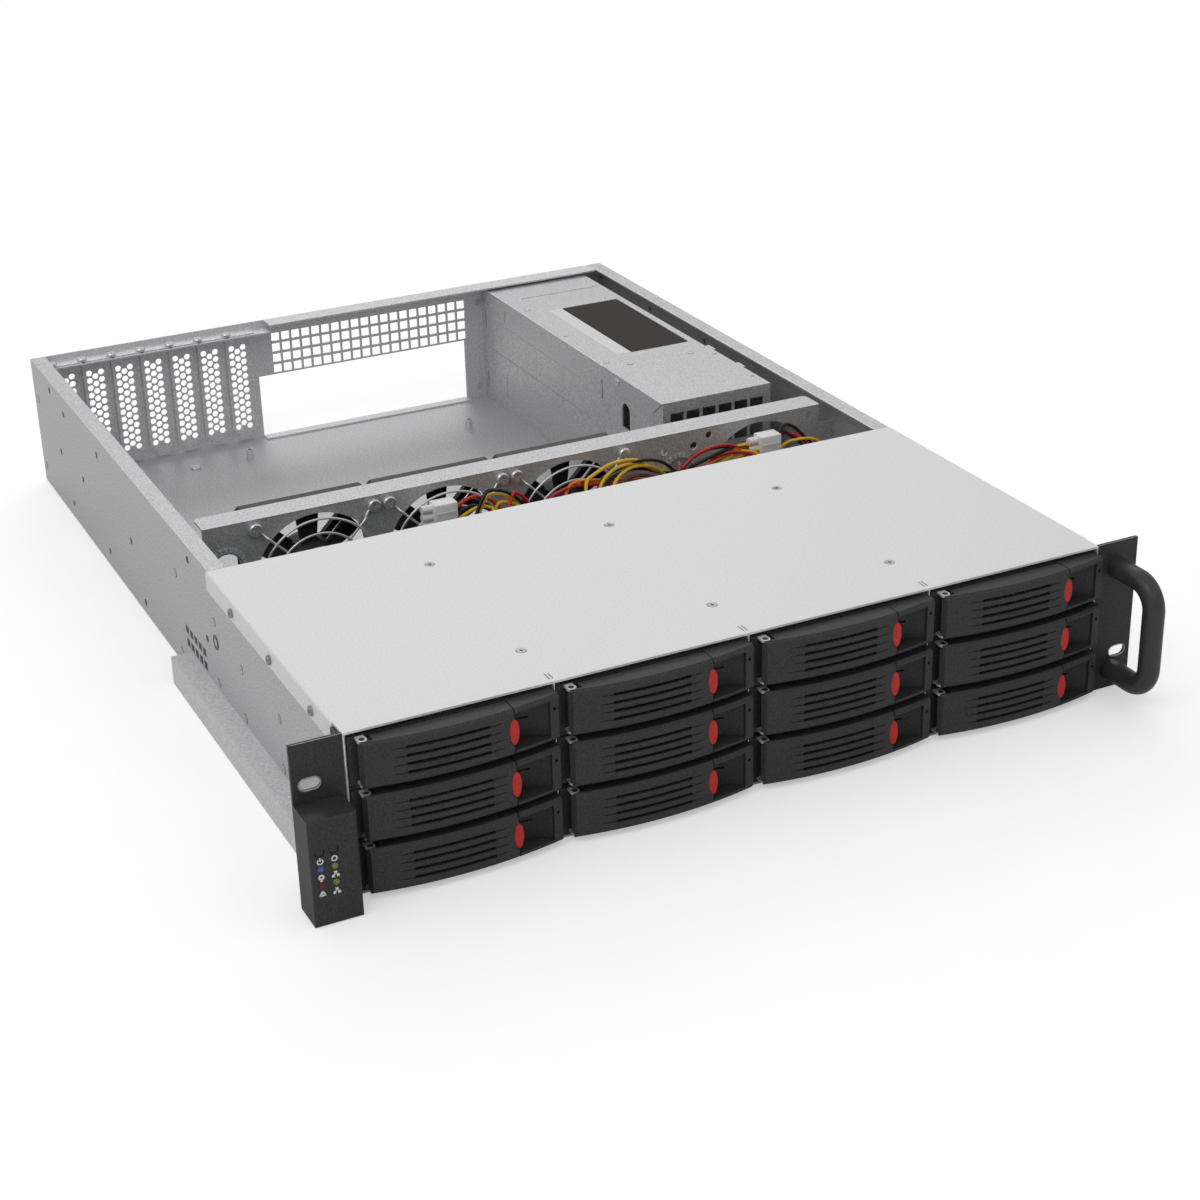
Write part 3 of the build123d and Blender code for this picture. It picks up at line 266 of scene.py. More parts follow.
plastic = finish(
    "black plastic", (0.026, 0.026, 0.028), (0.062, 0.062, 0.064), (0.42, 0.6),
    scale=1500.0, depth=0.25, specular=0.3,
)
fan_plastic = finish(
    "fan plastic", (0.012, 0.012, 0.013), (0.022, 0.022, 0.024), (0.35, 0.5),
    scale=1500.0, depth=0.05, specular=0.4,
)
red = finish(
    "red plastic", (0.50, 0.012, 0.008), (0.62, 0.022, 0.012), (0.25, 0.4),
    scale=700.0, depth=0.03,
)
board = finish(
    "circuit board", (0.006, 0.022, 0.012), (0.012, 0.035, 0.018), (0.35, 0.5),
    scale=500.0, depth=0.1,
)
bright = finish(
    "bright steel", (0.70, 0.70, 0.71), (0.84, 0.84, 0.85), (0.18, 0.3),
    metallic=0.7, scale=900.0, depth=0.05,
)
nylon = finish(
    "nylon", (0.84, 0.84, 0.83), (0.92, 0.92, 0.91), (0.35, 0.5),
    scale=600.0, depth=0.05,
)
floor_paint = finish(
    "studio floor", (0.86, 0.86, 0.86), (0.88, 0.88, 0.88), (0.8, 0.9),
    scale=20.0, depth=0.0,
)
floor_mesh.materials.append(floor_paint)

# The camera sees the floor a little brighter than it is, so that it fades into the white backdrop
FLOOR_LIFT = 0.40
parts, links = floor_paint.node_tree.nodes, floor_paint.node_tree.links
seen = parts.new("ShaderNodeLightPath")
lift = parts.new("ShaderNodeEmission")
both = parts.new("ShaderNodeAddShader")
share = computed(floor_paint.node_tree, "MULTIPLY", seen.outputs["Is Camera Ray"], FLOOR_LIFT)
links.new(share, lift.inputs["Strength"])
links.new(parts["Principled BSDF"].outputs[0], both.inputs[0])
links.new(lift.outputs[0], both.inputs[1])
links.new(both.outputs[0], parts["Material Output"].inputs["Surface"])

dress(rear_zinc, "rear_panel", "slot_brackets")
dress(lit_channel_sheet, "side_channel")
dress(zinc, "chassis_tub", "drive_cage", "fan_wall", "psu_cage", "psu_module_lower", "psu_module_upper")
dress(cover_sheet, "front_cover")
dress(coat, "rack_ears", "control_box")
dress(handle_coat, "handle")
dress(fan_plastic, "fan_frames", "fan_rotor_1", "fan_rotor_2", "fan_rotor_3")
dress(board, "front_panel_board")
dress(nylon, "wiring_harness")
dress(plastic, "power_button", "reset_button")
for name in nodes:
    if name.startswith("release_"):
        dress(red, name)
    elif name.startswith("lever_"):
        dress(plastic, name)

# %% [markdown]
# ## Two finishes on one solid
# A drive tray is one solid with a black moulded front and a bare steel sled behind it, and the
# backplane is a green board with black drive connectors in front. A step along the depth, read
# from Object coordinates, tells them apart and stays in place when the tray slides. The steel
# hinge ears of a tray stand in front of that step, so they have a mask of their own.

# %% Finishes that change along the depth
TRAY_FRONT, BOARD_FRONT = 1.9, 169.9  # where the rear finish starts
HINGE_EARS = 9.5                      # how far they reach from the left end of a tray


def split_finish(name, front_part, rear_part, plane, ears=False):
    """The first finish in front of a plane, the second behind it, counted from the rack ears."""
    made = front_part.copy()
    made.name = name
    tree = made.node_tree
    parts, links = tree.nodes, tree.links
    shader = parts["Principled BSDF"]
    place_at = parts.new("ShaderNodeTexCoord")
    axes = parts.new("ShaderNodeSeparateXYZ")
    links.new(place_at.outputs["Object"], axes.inputs[0])
    masked = computed(tree, "GREATER_THAN", axes.outputs["Y"], (FRONT + plane) * MM)
    if ears:
        # The hinge ears stand out in front, at the left end of every tray
        shifted = computed(tree, "ADD", axes.outputs["X"], -FIRST_TRAY * MM)
        along_tray = computed(tree, "MODULO", shifted, BAY_PITCH * MM)
        at_left = computed(tree, "LESS_THAN", along_tray, HINGE_EARS * MM)
        ahead = computed(tree, "LESS_THAN", axes.outputs["Y"], (FRONT - 0.1) * MM)
        masked = computed(tree, "MAXIMUM", computed(tree, "MULTIPLY", at_left, ahead), masked)
    rear_shader = rear_part.node_tree.nodes["Principled BSDF"]
    rear_ramp = [node for node in rear_part.node_tree.nodes if node.type == "VALTORGB"][0]
    colour = parts.new("ShaderNodeMix")
    colour.data_type = "RGBA"
    links.new(masked, colour.inputs["Factor"])
    links.new(shader.inputs["Base Color"].links[0].from_socket, colour.inputs[6])
    colour.inputs[7].default_value = rear_ramp.color_ramp.elements[1].color
    links.new(colour.outputs[2], shader.inputs["Base Color"])
    metal = computed(tree, "MULTIPLY", masked, rear_shader.inputs["Metallic"].default_value)
    links.new(metal, shader.inputs["Metallic"])
    return made


tray_finish = split_finish("tray", plastic, zinc, TRAY_FRONT, ears=True)
dress(split_finish("backplane", plastic, board, BOARD_FRONT), "backplane")
for name in nodes:
    if name.startswith("tray_"):
        dress(tray_finish, name)

# %% [markdown]
# ## New pieces
# A new piece is drawn in a bmesh, or as round wire along points, and rides on one of the bodies.
# Its slot names the material that the finished part has there. Bmesh operators give back mixed
# geometry, so two helpers pick its points and edges, always in the same order.

# %% Helpers for new pieces
UPRIGHT = Matrix.Rotation(math.radians(90), 4, "X")   # turns a flat shape to face the front
SIDEWAYS = Matrix.Rotation(math.radians(90), 4, "Y")  # turns a round shape to lie along X
SHARP = math.radians(30)                              # a corner from this angle on


def finished(shape, name, material, body="chassis"):
    """Turns a bmesh into a piece that rides on a body, smooth except at its corners."""
    bmesh.ops.remove_doubles(shape, verts=shape.verts, dist=1e-7)
    bmesh.ops.recalc_face_normals(shape, faces=shape.faces)
    mesh = bpy.data.meshes.new(name)
    shape.to_mesh(mesh)
    shape.free()
    mesh.shade_smooth()
    mesh.set_sharp_from_angle(angle=SHARP)
    mesh.materials.append(material)
    return riding(bpy.data.objects.new(name, mesh), body)


def riding(piece, body):
    """Puts a piece in the scene, on its body."""
    bpy.context.scene.collection.objects.link(piece)
    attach(piece, body)
    return piece


def wire(name, runs, radius, material, body="chassis", closed=False):
    """Round wire along smooth runs of points, as one piece."""
    curve = bpy.data.curves.new(name, "CURVE")
    curve.dimensions = "3D"
    curve.bevel_depth = radius * MM
    curve.bevel_resolution = 2
    curve.use_fill_caps = True
    for points in runs:
        spline = curve.splines.new("NURBS")
        spline.points.add(len(points) - 1)
        for point, (x, y, z) in zip(spline.points, points):
            point.co = (*place(x, y, z), 1)
        spline.use_cyclic_u = closed
        spline.use_endpoint_u = not closed
        spline.order_u = 3
        spline.resolution_u = 5
    curve.materials.append(material)
    return riding(bpy.data.objects.new(name, curve), body)


def points_of(geometry):
    """The points among what a bmesh operator gives back."""
    return [part for part in geometry if isinstance(part, bmesh.types.BMVert)]


def edges_of(points):
    """The edges at some points, each of them once."""
    return list(dict.fromkeys(edge for point in points for edge in point.link_edges))


def bevel(shape, edges, offset, segments=2):
    bmesh.ops.bevel(
        shape, geom=edges, offset=offset * MM, segments=segments, profile=0.5, affect="EDGES", material=-1
    )


def bevel_upright(shape, points, offset, segments=2):
    """Rounds the edges at some points that stand upright."""
    upright = [edge for edge in edges_of(points) if abs(edge.verts[0].co.z - edge.verts[1].co.z) > 1e-6]
    bevel(shape, upright, offset, segments)


def add_block(shape, centre, length, depth, height):
    """A block round a point; the point is in metres and the block in millimetres."""
    block = bmesh.ops.create_cube(shape, size=1.0)["verts"]
    bmesh.ops.scale(shape, vec=(length * MM, depth * MM, height * MM), verts=block)
    bmesh.ops.translate(shape, vec=centre, verts=block)
    return block


def add_plate(shape, low, high, corner):
    """A flat plate between two corners, with its upright edges rounded."""
    block = bmesh.ops.create_cube(shape, size=1.0)["verts"]
    low, high = place(*low), place(*high)
    bmesh.ops.scale(shape, vec=high - low, verts=block)
    bmesh.ops.translate(shape, vec=(low + high) / 2, verts=block)
    bevel_upright(shape, block, corner, segments=3)


def add_round(shape, radius, depth, matrix, segments=16, cap_ends=True):
    """A round bar or, without caps, a band; it lies along the matrix's third axis."""
    return bmesh.ops.create_cone(
        shape, segments=segments, radius1=radius * MM, radius2=radius * MM, depth=depth * MM,
        cap_ends=cap_ends, matrix=matrix,
    )["verts"]


# %% [markdown]
# ## Perforated slot brackets
# The covers of the expansion slots are punched with round holes in a honeycomb of three columns.
# One outline and all the circles are filled as a single face, which keeps the mesh small, and
# the sheet gets its thickness at the end.

# %% The seven brackets
BRACKET_FIRST, BRACKET_PITCH, BRACKETS = -192.3, 20.32, 7
BRACKET_SHEET = 0.9
HOLE, HOLE_PITCH = 2.15, 5.33
HOLE_COLUMNS = ((-5.1, 12, 12.6), (-0.9, 11, 15.3), (3.3, 12, 12.6))  # place, count, lowest
half_bracket, half_tongue = 9.2, 5.0
bracket_face = REAR - SHEET

shape = bmesh.new()
corners = [
    (-half_bracket, 83.6), (-half_bracket, 9.5), (-half_tongue, 6), (-half_tongue, 2.6),
    (half_tongue, 2.6), (half_tongue, 6), (half_bracket, 9.5), (half_bracket, 83.6),
]
ring = [shape.verts.new(place(x, bracket_face, z)) for x, z in corners]
for start, end in zip(ring, ring[1:] + ring[:1]):
    shape.edges.new((start, end))
for column, count, lowest in HOLE_COLUMNS:
    for row in range(count):
        centre = Matrix.Translation(place(column, bracket_face, lowest + HOLE_PITCH * row))
        bmesh.ops.create_circle(shape, segments=12, radius=HOLE * MM, matrix=centre @ UPRIGHT)
bmesh.ops.triangle_fill(shape, use_beauty=True, edges=shape.edges[:], normal=(0, -1, 0))
thick = bmesh.ops.extrude_face_region(shape, geom=shape.faces[:])["geom"]
bmesh.ops.translate(shape, vec=(0, -BRACKET_SHEET * MM, 0), verts=points_of(thick))
add_block(shape, place(0, bracket_face - 6, 83.65), 2 * half_bracket, 12, BRACKET_SHEET)
one = shape.faces[:]
for slot in range(1, BRACKETS):
    copy = bmesh.ops.duplicate(shape, geom=one)["geom"]
    bmesh.ops.translate(shape, vec=(slot * BRACKET_PITCH * MM, 0, 0), verts=points_of(copy))
bmesh.ops.translate(shape, vec=(BRACKET_FIRST * MM, 0, 0), verts=shape.verts)
brackets = finished(shape, "slot_bracket_sheets", rear_zinc)
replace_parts(brackets, "slot_brackets")
print("bracket faces:", len(brackets.data.polygons))

# %% [markdown]
# ## Fan guards
# Each guard is bent from bright wire: four rings welded onto two crossed arms. The arms end in
# eyes that lie under the screws, and step forward from the wall before they cross the rings.

# %% Rings and arms of wire
WALL = 264.8                      # the fan wall's front face
FAN_HEIGHT, FAN_HOLES = 44.5, 35.75
FAN_MIDDLES = (-133.35, -52.48, 28.39)
RING_RADII = (9.5, 18.4, 27.3, 36.2)
STAND_OFF = 4.0                   # from the wall to the arms where they cross the rings
# Points of an arm: the share of the way from the middle to a screw, and how far ahead of the wall
ARM_STEPS = (
    (0.93, 0.8), (0.86, 0.8), (0.82, STAND_OFF), (0.7, STAND_OFF), (0.45, STAND_OFF), (0.16, STAND_OFF),
)


def ring_points(x, y, z, radius, count=24):
    """Points round a circle that faces the front."""
    turns = [2 * math.pi * n / count for n in range(count)]
    return [(x + radius * math.cos(turn), y, z + radius * math.sin(turn)) for turn in turns]


def toward_screws(share, y):
    """Points on the way from each fan's middle to its four screws."""
    return [
        (middle + across * FAN_HOLES * share, y, FAN_HEIGHT + rise * FAN_HOLES * share)
        for middle in FAN_MIDDLES for across in (-1, 1) for rise in (-1, 1)
    ]


rings = [
    ring_points(middle, WALL - STAND_OFF - 1.4, FAN_HEIGHT, radius)
    for middle in FAN_MIDDLES for radius in RING_RADII
]
arms = list(zip(*(toward_screws(share, WALL - ahead) for share, ahead in ARM_STEPS)))
eyes = [ring_points(*point, 3.0, 12) for point in toward_screws(1.0, WALL - 0.8)]
guard_rings = wire("fan_guard_rings", rings, 0.75, bright, closed=True)
guard_arms = wire("fan_guard_arms", arms, 0.8, bright)
guard_eyes = wire("fan_guard_eyes", eyes, 0.8, bright, closed=True)
for piece in (guard_rings, guard_arms, guard_eyes):
    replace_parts(piece, "fan_guards")
print("guard wires:", len(rings) + len(arms) + len(eyes))

# %% [markdown]
# ## Screws and rivets
# Every screw has a cross recess, and it is the recess that catches the eye. The top of the head
# is filled between its rim and the cross, the cross is pushed down, and the rim is bevelled.

# %% One screw, set many times
def cross_outline(arm, width):
    """The twelve corners of a cross recess."""
    a, w = arm, width / 2
    return [
        (a, -w), (a, w), (w, w), (w, a), (-w, a), (-w, w),
        (-a, w), (-a, -w), (-w, -w), (-w, -a), (w, -a), (w, -w),
    ]


def add_screw(shape, centre, facing, radius, height, recess=True, sink=0.0):
    """Adds a screw head whose foot stands at centre, less its sink, and whose top looks along facing."""
    head = bmesh.new()
    rim = bmesh.ops.create_circle(head, segments=16, radius=radius * MM)["verts"]
    if recess:
        outline = cross_outline(radius * 0.55, radius * 0.24)
        corners = [head.verts.new((x * MM, y * MM, 0)) for x, y in outline]
        cross = [head.edges.new(pair) for pair in zip(corners, corners[1:] + corners[:1])]
        bmesh.ops.triangle_fill(head, use_beauty=True, edges=head.edges[:], normal=(0, 0, 1))
        wall = bmesh.ops.extrude_edge_only(head, edges=cross)["geom"]
        low = points_of(wall)
        bmesh.ops.scale(head, vec=(0.7, 0.7, 1), verts=low)
        bmesh.ops.translate(head, vec=(0, 0, -0.3 * radius * MM), verts=low)
        bmesh.ops.contextual_create(head, geom=low)
    else:
        bmesh.ops.contextual_create(head, geom=rim)
    edge = [e for e in head.edges if e.verts[0] in rim and e.verts[1] in rim]
    shoulder = bmesh.ops.extrude_edge_only(head, edges=edge)["geom"]
    ring = points_of(shoulder)
    bmesh.ops.scale(head, vec=(1.18, 1.18, 1), verts=ring)
    bmesh.ops.translate(head, vec=(0, 0, -0.35 * height * MM), verts=ring)
    edge = [part for part in shoulder if isinstance(part, bmesh.types.BMEdge)]
    foot = points_of(bmesh.ops.extrude_edge_only(head, edges=edge)["geom"])
    bmesh.ops.translate(head, vec=(0, 0, -0.65 * height * MM), verts=foot)
    bmesh.ops.contextual_create(head, geom=foot)
    turned = Vector(facing).to_track_quat("Z", "Y").to_matrix().to_4x4()
    raised = Matrix.Translation((0, 0, (height - sink) * MM))
    bmesh.ops.transform(head, matrix=Matrix.Translation(centre) @ turned @ raised, verts=head.verts)
    finished_head = bpy.data.meshes.new("head")
    head.to_mesh(finished_head)
    head.free()
    shape.from_mesh(finished_head)
    bpy.data.meshes.remove(finished_head)


# %% Cover, wall, bracket and guard screws
shape = bmesh.new()
for x in (-BAY_PITCH, 0, BAY_PITCH):
    for y in (37.5, 155):
        add_screw(shape, place(x, y, TOP), (0, 0, 1), 2.5, 1.2, sink=1.25)
for side in (-1, 1):
    for y in (39, 100, 161):
        add_screw(shape, place(side * (HALF + SHEET), y, 82), (side, 0, 0), 2.2, 1.6)
grey_steel = finish(
    "grey steel", (0.26, 0.26, 0.27), (0.42, 0.42, 0.43), (0.22, 0.38),
    metallic=0.8, scale=700.0, depth=0.08,
)
cover_screws = finished(shape, "cover_screws", grey_steel)
shape = bmesh.new()
for slot in range(BRACKETS):
    x = BRACKET_FIRST + slot * BRACKET_PITCH - 10.7
    add_screw(shape, place(x, REAR - 10.5, 84.1), (0, 0, 1), 2.8, 2.2)
for point in toward_screws(1.0, WALL - 1.6):
    add_screw(shape, place(*point), (0, -1, 0), 3.4, 2.4)
screws = finished(shape, "screws", bright)

# %% Standoffs for the motherboard
shape = bmesh.new()
board_places = [(x, y) for y in (337.67, 410.06) for x in (-203.5, -79.04, 78.44)]
for x, y in board_places + [(-203.5, 565), (-79.04, 565), (78.44, 542.14)]:
    start = Matrix.Translation(place(x, y, SHEET))
    outer = bmesh.ops.create_circle(shape, segments=16, radius=2.6 * MM, matrix=start)["verts"]
    inner = bmesh.ops.create_circle(shape, segments=12, radius=1.4 * MM, matrix=start)["verts"]
    bmesh.ops.triangle_fill(shape, use_beauty=True, edges=edges_of(outer + inner), normal=(0, 0, 1))
solid = bmesh.ops.extrude_face_region(shape, geom=shape.faces[:])["geom"]
bmesh.ops.translate(shape, vec=(0, 0, 6.5 * MM), verts=points_of(solid))
add_screw(shape, place(-118.8, 564.9, SHEET), (0, 0, 1), 3.0, 1.6)
standoffs = finished(shape, "standoffs", bright)
for piece in (cover_screws, screws, standoffs):
    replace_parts(piece, "fasteners")

# %% [markdown]
# ## Leads, plugs and grommets
# Power leads run from the supply through the right-hand grommet, and from the two white plugs,
# down to the sockets of the drive backplane. Both ends of each lead are held, so each one is
# a single smooth curve between its ends, with a few points where the photograph shows it turn.

# %% Leads by colour
leads = {
    "red": [
        [(-53.5, 246, 76), (-44.5, 246, 82), (-35, 244, 79), (-30, 242, 75), (-26, 236, 68),
         (-19, 224, 58), (-15, 200, 52), (-15, 186, 52)],
        [(-28, 232, 70), (-21, 240, 82), (-15.5, 240, 78.5), (-10.5, 240, 72.5), (-5, 234, 62),
         (2, 220, 54), (-2, 200, 48), (-2, 186, 48)],
        [(-12, 228, 60), (2.5, 240, 72), (8.5, 240, 74.5), (19, 240, 77), (33, 240, 75), (44.5, 240, 73),
         (56, 244, 66), (72, 252, 60), (96.5, 262, 56.5), (104.5, 272, 58.5), (111, 284, 49),
         (122, 298, 36), (130, 313, 30)],
        [(105.5, 270, 63.5), (100.5, 258, 62.5), (94, 248, 67.5), (102, 248, 75), (111, 247, 79),
         (121.5, 246, 80.5), (131.5, 246, 78), (141.5, 246, 73), (148, 246, 69), (150, 238, 64),
         (150, 222, 56), (146, 200, 52), (146, 186, 52)],
        [(111, 252, 60.5), (114, 248, 71), (124, 246, 75), (136, 244, 74), (147, 241, 69), (152, 230, 60),
         (144, 200, 54), (144, 186, 54)],
        [(161.5, 252, 76), (170, 252, 78), (179, 249, 74), (186, 243, 66), (183, 230, 57), (166, 213, 51),
         (151, 200, 48), (144, 186, 48)],
    ],
    "black": [
        [(-53.5, 250, 73), (-48, 250, 79), (-40, 248, 77.5), (-30, 246, 71), (-21, 236, 62),
         (-16, 220, 54), (-12, 200, 52), (-12, 186, 52)],
        [(-53.5, 248, 70), (-45, 249, 74.5), (-35, 249, 72), (-25, 241, 64), (-20, 226, 56), (-9, 200, 48),
         (-9, 186, 48)],
        [(-50, 236, 62), (-39, 240, 85), (-32, 240, 85), (-23.5, 240, 82), (-14.5, 240, 73.5),
         (-8, 236, 62), (-2, 220, 53), (-6, 200, 53), (-6, 186, 53)],
        [(20, 214, 56), (34, 242, 74.5), (46, 243, 79.5), (64, 244, 83), (80, 246, 79), (89.5, 248, 70),
         (96.5, 256, 62.5), (102.5, 264, 62.5), (108.5, 274, 60.5), (113, 288, 49), (126, 301, 37),
         (138, 313, 34)],
        [(16, 210, 52), (27, 228, 68), (40, 240, 75), (54, 244, 78), (68, 247, 76), (80, 252, 69),
         (98.5, 260, 61.5), (104.5, 270, 62.5), (112, 284, 53), (123, 298, 40), (131, 313, 37)],
        [(107.5, 271, 60.5), (104.5, 258, 61.5), (100, 248, 69), (125, 246, 77), (137, 246, 77.5),
         (150, 246, 71.5), (157.5, 246, 68), (156, 238, 62), (154, 222, 54), (150, 200, 52),
         (150, 186, 52)],
        [(103.5, 270, 61.5), (102.5, 258, 64.5), (104, 250, 76), (116, 248, 79), (130, 247, 78),
         (143, 245, 73), (150, 236, 64), (146, 220, 55), (142, 200, 48), (142, 186, 48)],
        [(161.5, 250, 74), (167, 250, 86.5), (177.5, 250, 79), (182.5, 250, 73), (189, 246, 66),
         (186, 232, 58), (170, 216, 53), (155, 202, 50), (150, 186, 50)],
        [(161.5, 248, 71), (162, 250, 84), (177.5, 250, 72), (182, 243, 66), (178, 229, 57),
         (164, 214, 52), (150, 201, 49), (147, 186, 49)],
    ],
    "yellow": [
        [(-53.5, 246, 68), (-51, 244, 70.5), (-44.5, 243, 74), (-39, 242, 75.5), (-33.5, 240, 74),
         (-34, 238, 73.5), (-27, 228, 58), (-19, 200, 48), (-19, 186, 48)],
        [(-44, 226, 54), (-31.5, 240, 71.5), (-30.5, 240, 75), (-27.5, 240, 76.5), (-22, 240, 74.5),
         (-17.5, 240, 72.5), (-11, 234, 62), (-6, 220, 54), (-5, 200, 47), (-5, 186, 47)],
        [(-48, 232, 58), (-43, 240, 72), (-36, 242, 81.5), (-29.5, 242, 81), (-22.5, 242, 78),
         (-16, 242, 72), (-10, 238, 62), (-4, 222, 54), (-3, 200, 51), (-3, 186, 51)],
        [(22, 212, 52), (22, 226, 66), (24, 236, 79.5), (33, 240, 81.5), (45.5, 242, 85.5),
         (62.5, 244, 84), (72, 249, 76), (84, 255, 68), (99.5, 262, 60.5), (105.5, 272, 59.5),
         (113, 286, 49), (125, 300, 36), (134, 313, 30)],
        [(26, 208, 50), (32, 222, 62), (43, 236, 76), (57.5, 243, 80), (70, 245, 78), (80, 248, 72),
         (84.5, 250, 67), (94.5, 256, 60.5), (101.5, 263, 57.5), (107.5, 273, 56.5), (112, 287, 46),
         (127, 301, 34), (136, 313, 28)],
        [(18, 206, 49), (24, 220, 62), (32, 234, 75), (44, 240, 82), (58, 243, 82.5), (70, 247, 77),
         (80, 252, 69), (98.5, 261, 58.5), (103.5, 270, 57.5), (110, 284, 47), (121, 298, 33),
         (128, 313, 26)],
        [(102.5, 270, 58.5), (110.5, 256, 59.5), (115, 249, 70), (126, 246, 77), (139.5, 246, 77.5),
         (149.5, 246, 77), (158, 246, 74), (166.5, 246, 68), (166, 238, 62), (160, 220, 54),
         (155, 200, 48), (155, 186, 48)],
        [(104.5, 269, 56.5), (112.5, 256, 56.5), (121.5, 248, 68), (130, 247, 70.5), (134, 245, 75),
         (146, 243, 72), (152, 234, 62), (148, 218, 54), (139, 200, 51), (139, 186, 51)],
        [(113, 254, 58.5), (120, 249, 66), (134.5, 246, 69.5), (140, 246, 71), (146, 244, 74),
         (156, 241, 68), (158, 230, 58), (151, 200, 47), (151, 186, 47)],
        [(161.5, 246, 68), (166, 246, 73.5), (177, 245, 74), (185, 245, 73), (193, 245, 68.5),
         (194, 238, 62), (188, 224, 55), (170, 211, 52), (154, 199, 50), (152, 186, 51)],
    ],
    "orange": [
        [(4, 226, 58), (13, 240, 71.5), (16, 240, 77.5), (22.5, 240, 79.5), (36, 242, 76), (52, 246, 72),
         (70, 252, 66), (94.5, 261, 59.5), (103.5, 271, 60.5), (111, 284, 51), (124, 300, 38),
         (132, 313, 34)],
        [(106.5, 271, 57.5), (108.5, 258, 58.5), (111, 248, 68), (121, 247, 71.5), (131.5, 246, 75.5),
         (142, 246, 76.5), (150, 246, 75.5), (161.5, 246, 68.5), (160, 236, 62), (156, 220, 54),
         (153, 200, 50), (153, 186, 50)],
        [(-199, 257, 58), (-191, 261, 57), (-187, 266, 58), (-182, 272, 56), (-172, 280, 48)],
    ],
    "brown": [
        [(30, 212, 54), (38, 228, 66), (50, 240, 73.5), (64, 245, 73), (78, 250, 67), (98.5, 260, 56.5),
         (105.5, 271, 54.5), (113, 285, 45), (124, 300, 31), (133, 313, 26)],
    ],
}
jackets = {
    "red": ((0.50, 0.010, 0.012), (0.60, 0.018, 0.018)),
    "black": ((0.010, 0.009, 0.009), (0.016, 0.015, 0.015)),
    "yellow": ((0.78, 0.46, 0.010), (0.88, 0.55, 0.020)),
    "orange": ((0.80, 0.17, 0.008), (0.88, 0.22, 0.012)),
    "brown": ((0.13, 0.055, 0.022), (0.17, 0.075, 0.030)),
}
LEAD = 1.1  # radius of a lead
harness = []
for colour, runs in leads.items():
    jacket = finish(colour + " lead", *jackets[colour], (0.22, 0.34), scale=300.0, depth=0.02)
    harness.append(wire("leads_" + colour, runs, LEAD, jacket))
print("leads:", sum(len(runs) for runs in leads.values()))

# %% Four-way plugs
# A plug is a rounded block with four round sockets side by side at its mating end.
WAY_PITCH = 5.1
shape = bmesh.new()
for x, y, z in ((-64, 248, 70), (151, 246, 71)):
    block = add_block(shape, place(x + 3.2, y, z), 14.5, 10.4, 21.6)
    bevel(shape, edges_of(block), 1.1)
    for way in range(4):
        centre = place(x - 7.0, y, z + (way - 1.5) * WAY_PITCH)
        add_round(shape, 2.45, 7.0, Matrix.Translation(centre) @ SIDEWAYS)
    for side in (-1, 1):
        add_block(shape, place(x + 3.2, y - 5.25, z + side * WAY_PITCH), 12, 0.5, 1.4)
harness.append(finished(shape, "plugs", nylon))

# %% Toothed grommets in the fan wall
grommet_nylon = finish(
    "grommet nylon", (0.42, 0.46, 0.49), (0.52, 0.56, 0.59), (0.3, 0.45),
    scale=500.0, depth=0.04,
)
TEETH = 22
shape = bmesh.new()
for x, z in ((-187, 60), (102.7, 60.5)):
    centre = Matrix.Translation(place(x, WALL + 0.6, z))
    for tooth in range(TEETH):
        turned = centre @ Matrix.Rotation(2 * math.pi * tooth / TEETH, 4, "Y")
        for side in (-1, 1):
            leg = add_block(shape, (0, side * 1.1 * MM, 10.1 * MM), 2.1, 0.9, 3.4)
            bmesh.ops.transform(shape, matrix=turned, verts=leg)
    band = add_round(shape, 8.5, 3.1, centre @ UPRIGHT, segments=36, cap_ends=False)
    walls = list(dict.fromkeys(face for point in band for face in point.link_faces))
    bmesh.ops.solidify(shape, geom=walls, thickness=-0.7 * MM)
harness.append(finished(shape, "grommets", grommet_nylon))
for piece in harness:
    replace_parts(piece, "wiring_harness")

# %% [markdown]
# ## The supply's plate, rivets and folds
# The supply carries a dark plate with a pale strip beside it, left bare here. The heads of the
# rivets that hold its sheets together are low and smooth, so they are screws without a recess.

# %% Plate, rivets and raised lines on the supply
SUPPLY_TOP, HEAD_TOP = 85.2, 86.0
SUPPLY_SIDE = 117.0
plate_brown = finish(
    "plate brown", (0.024, 0.017, 0.014), (0.034, 0.025, 0.021), (0.5, 0.65),
    scale=900.0, depth=0.03, specular=0.15,
)
plate_white = finish(
    "plate white", (0.78, 0.78, 0.78), (0.86, 0.86, 0.86), (0.3, 0.45),
    scale=900.0, depth=0.03,
)
shape = bmesh.new()
add_plate(shape, (146.3, 414, SUPPLY_TOP - 0.05), (190, 522.5, SUPPLY_TOP + 0.15), 1.5)
finished(shape, "supply_plate_dark", plate_brown)
shape = bmesh.new()
add_plate(shape, (135.8, 414, SUPPLY_TOP - 0.05), (146.4, 522.5, SUPPLY_TOP + 0.12), 1.0)
finished(shape, "supply_plate_pale", plate_white)

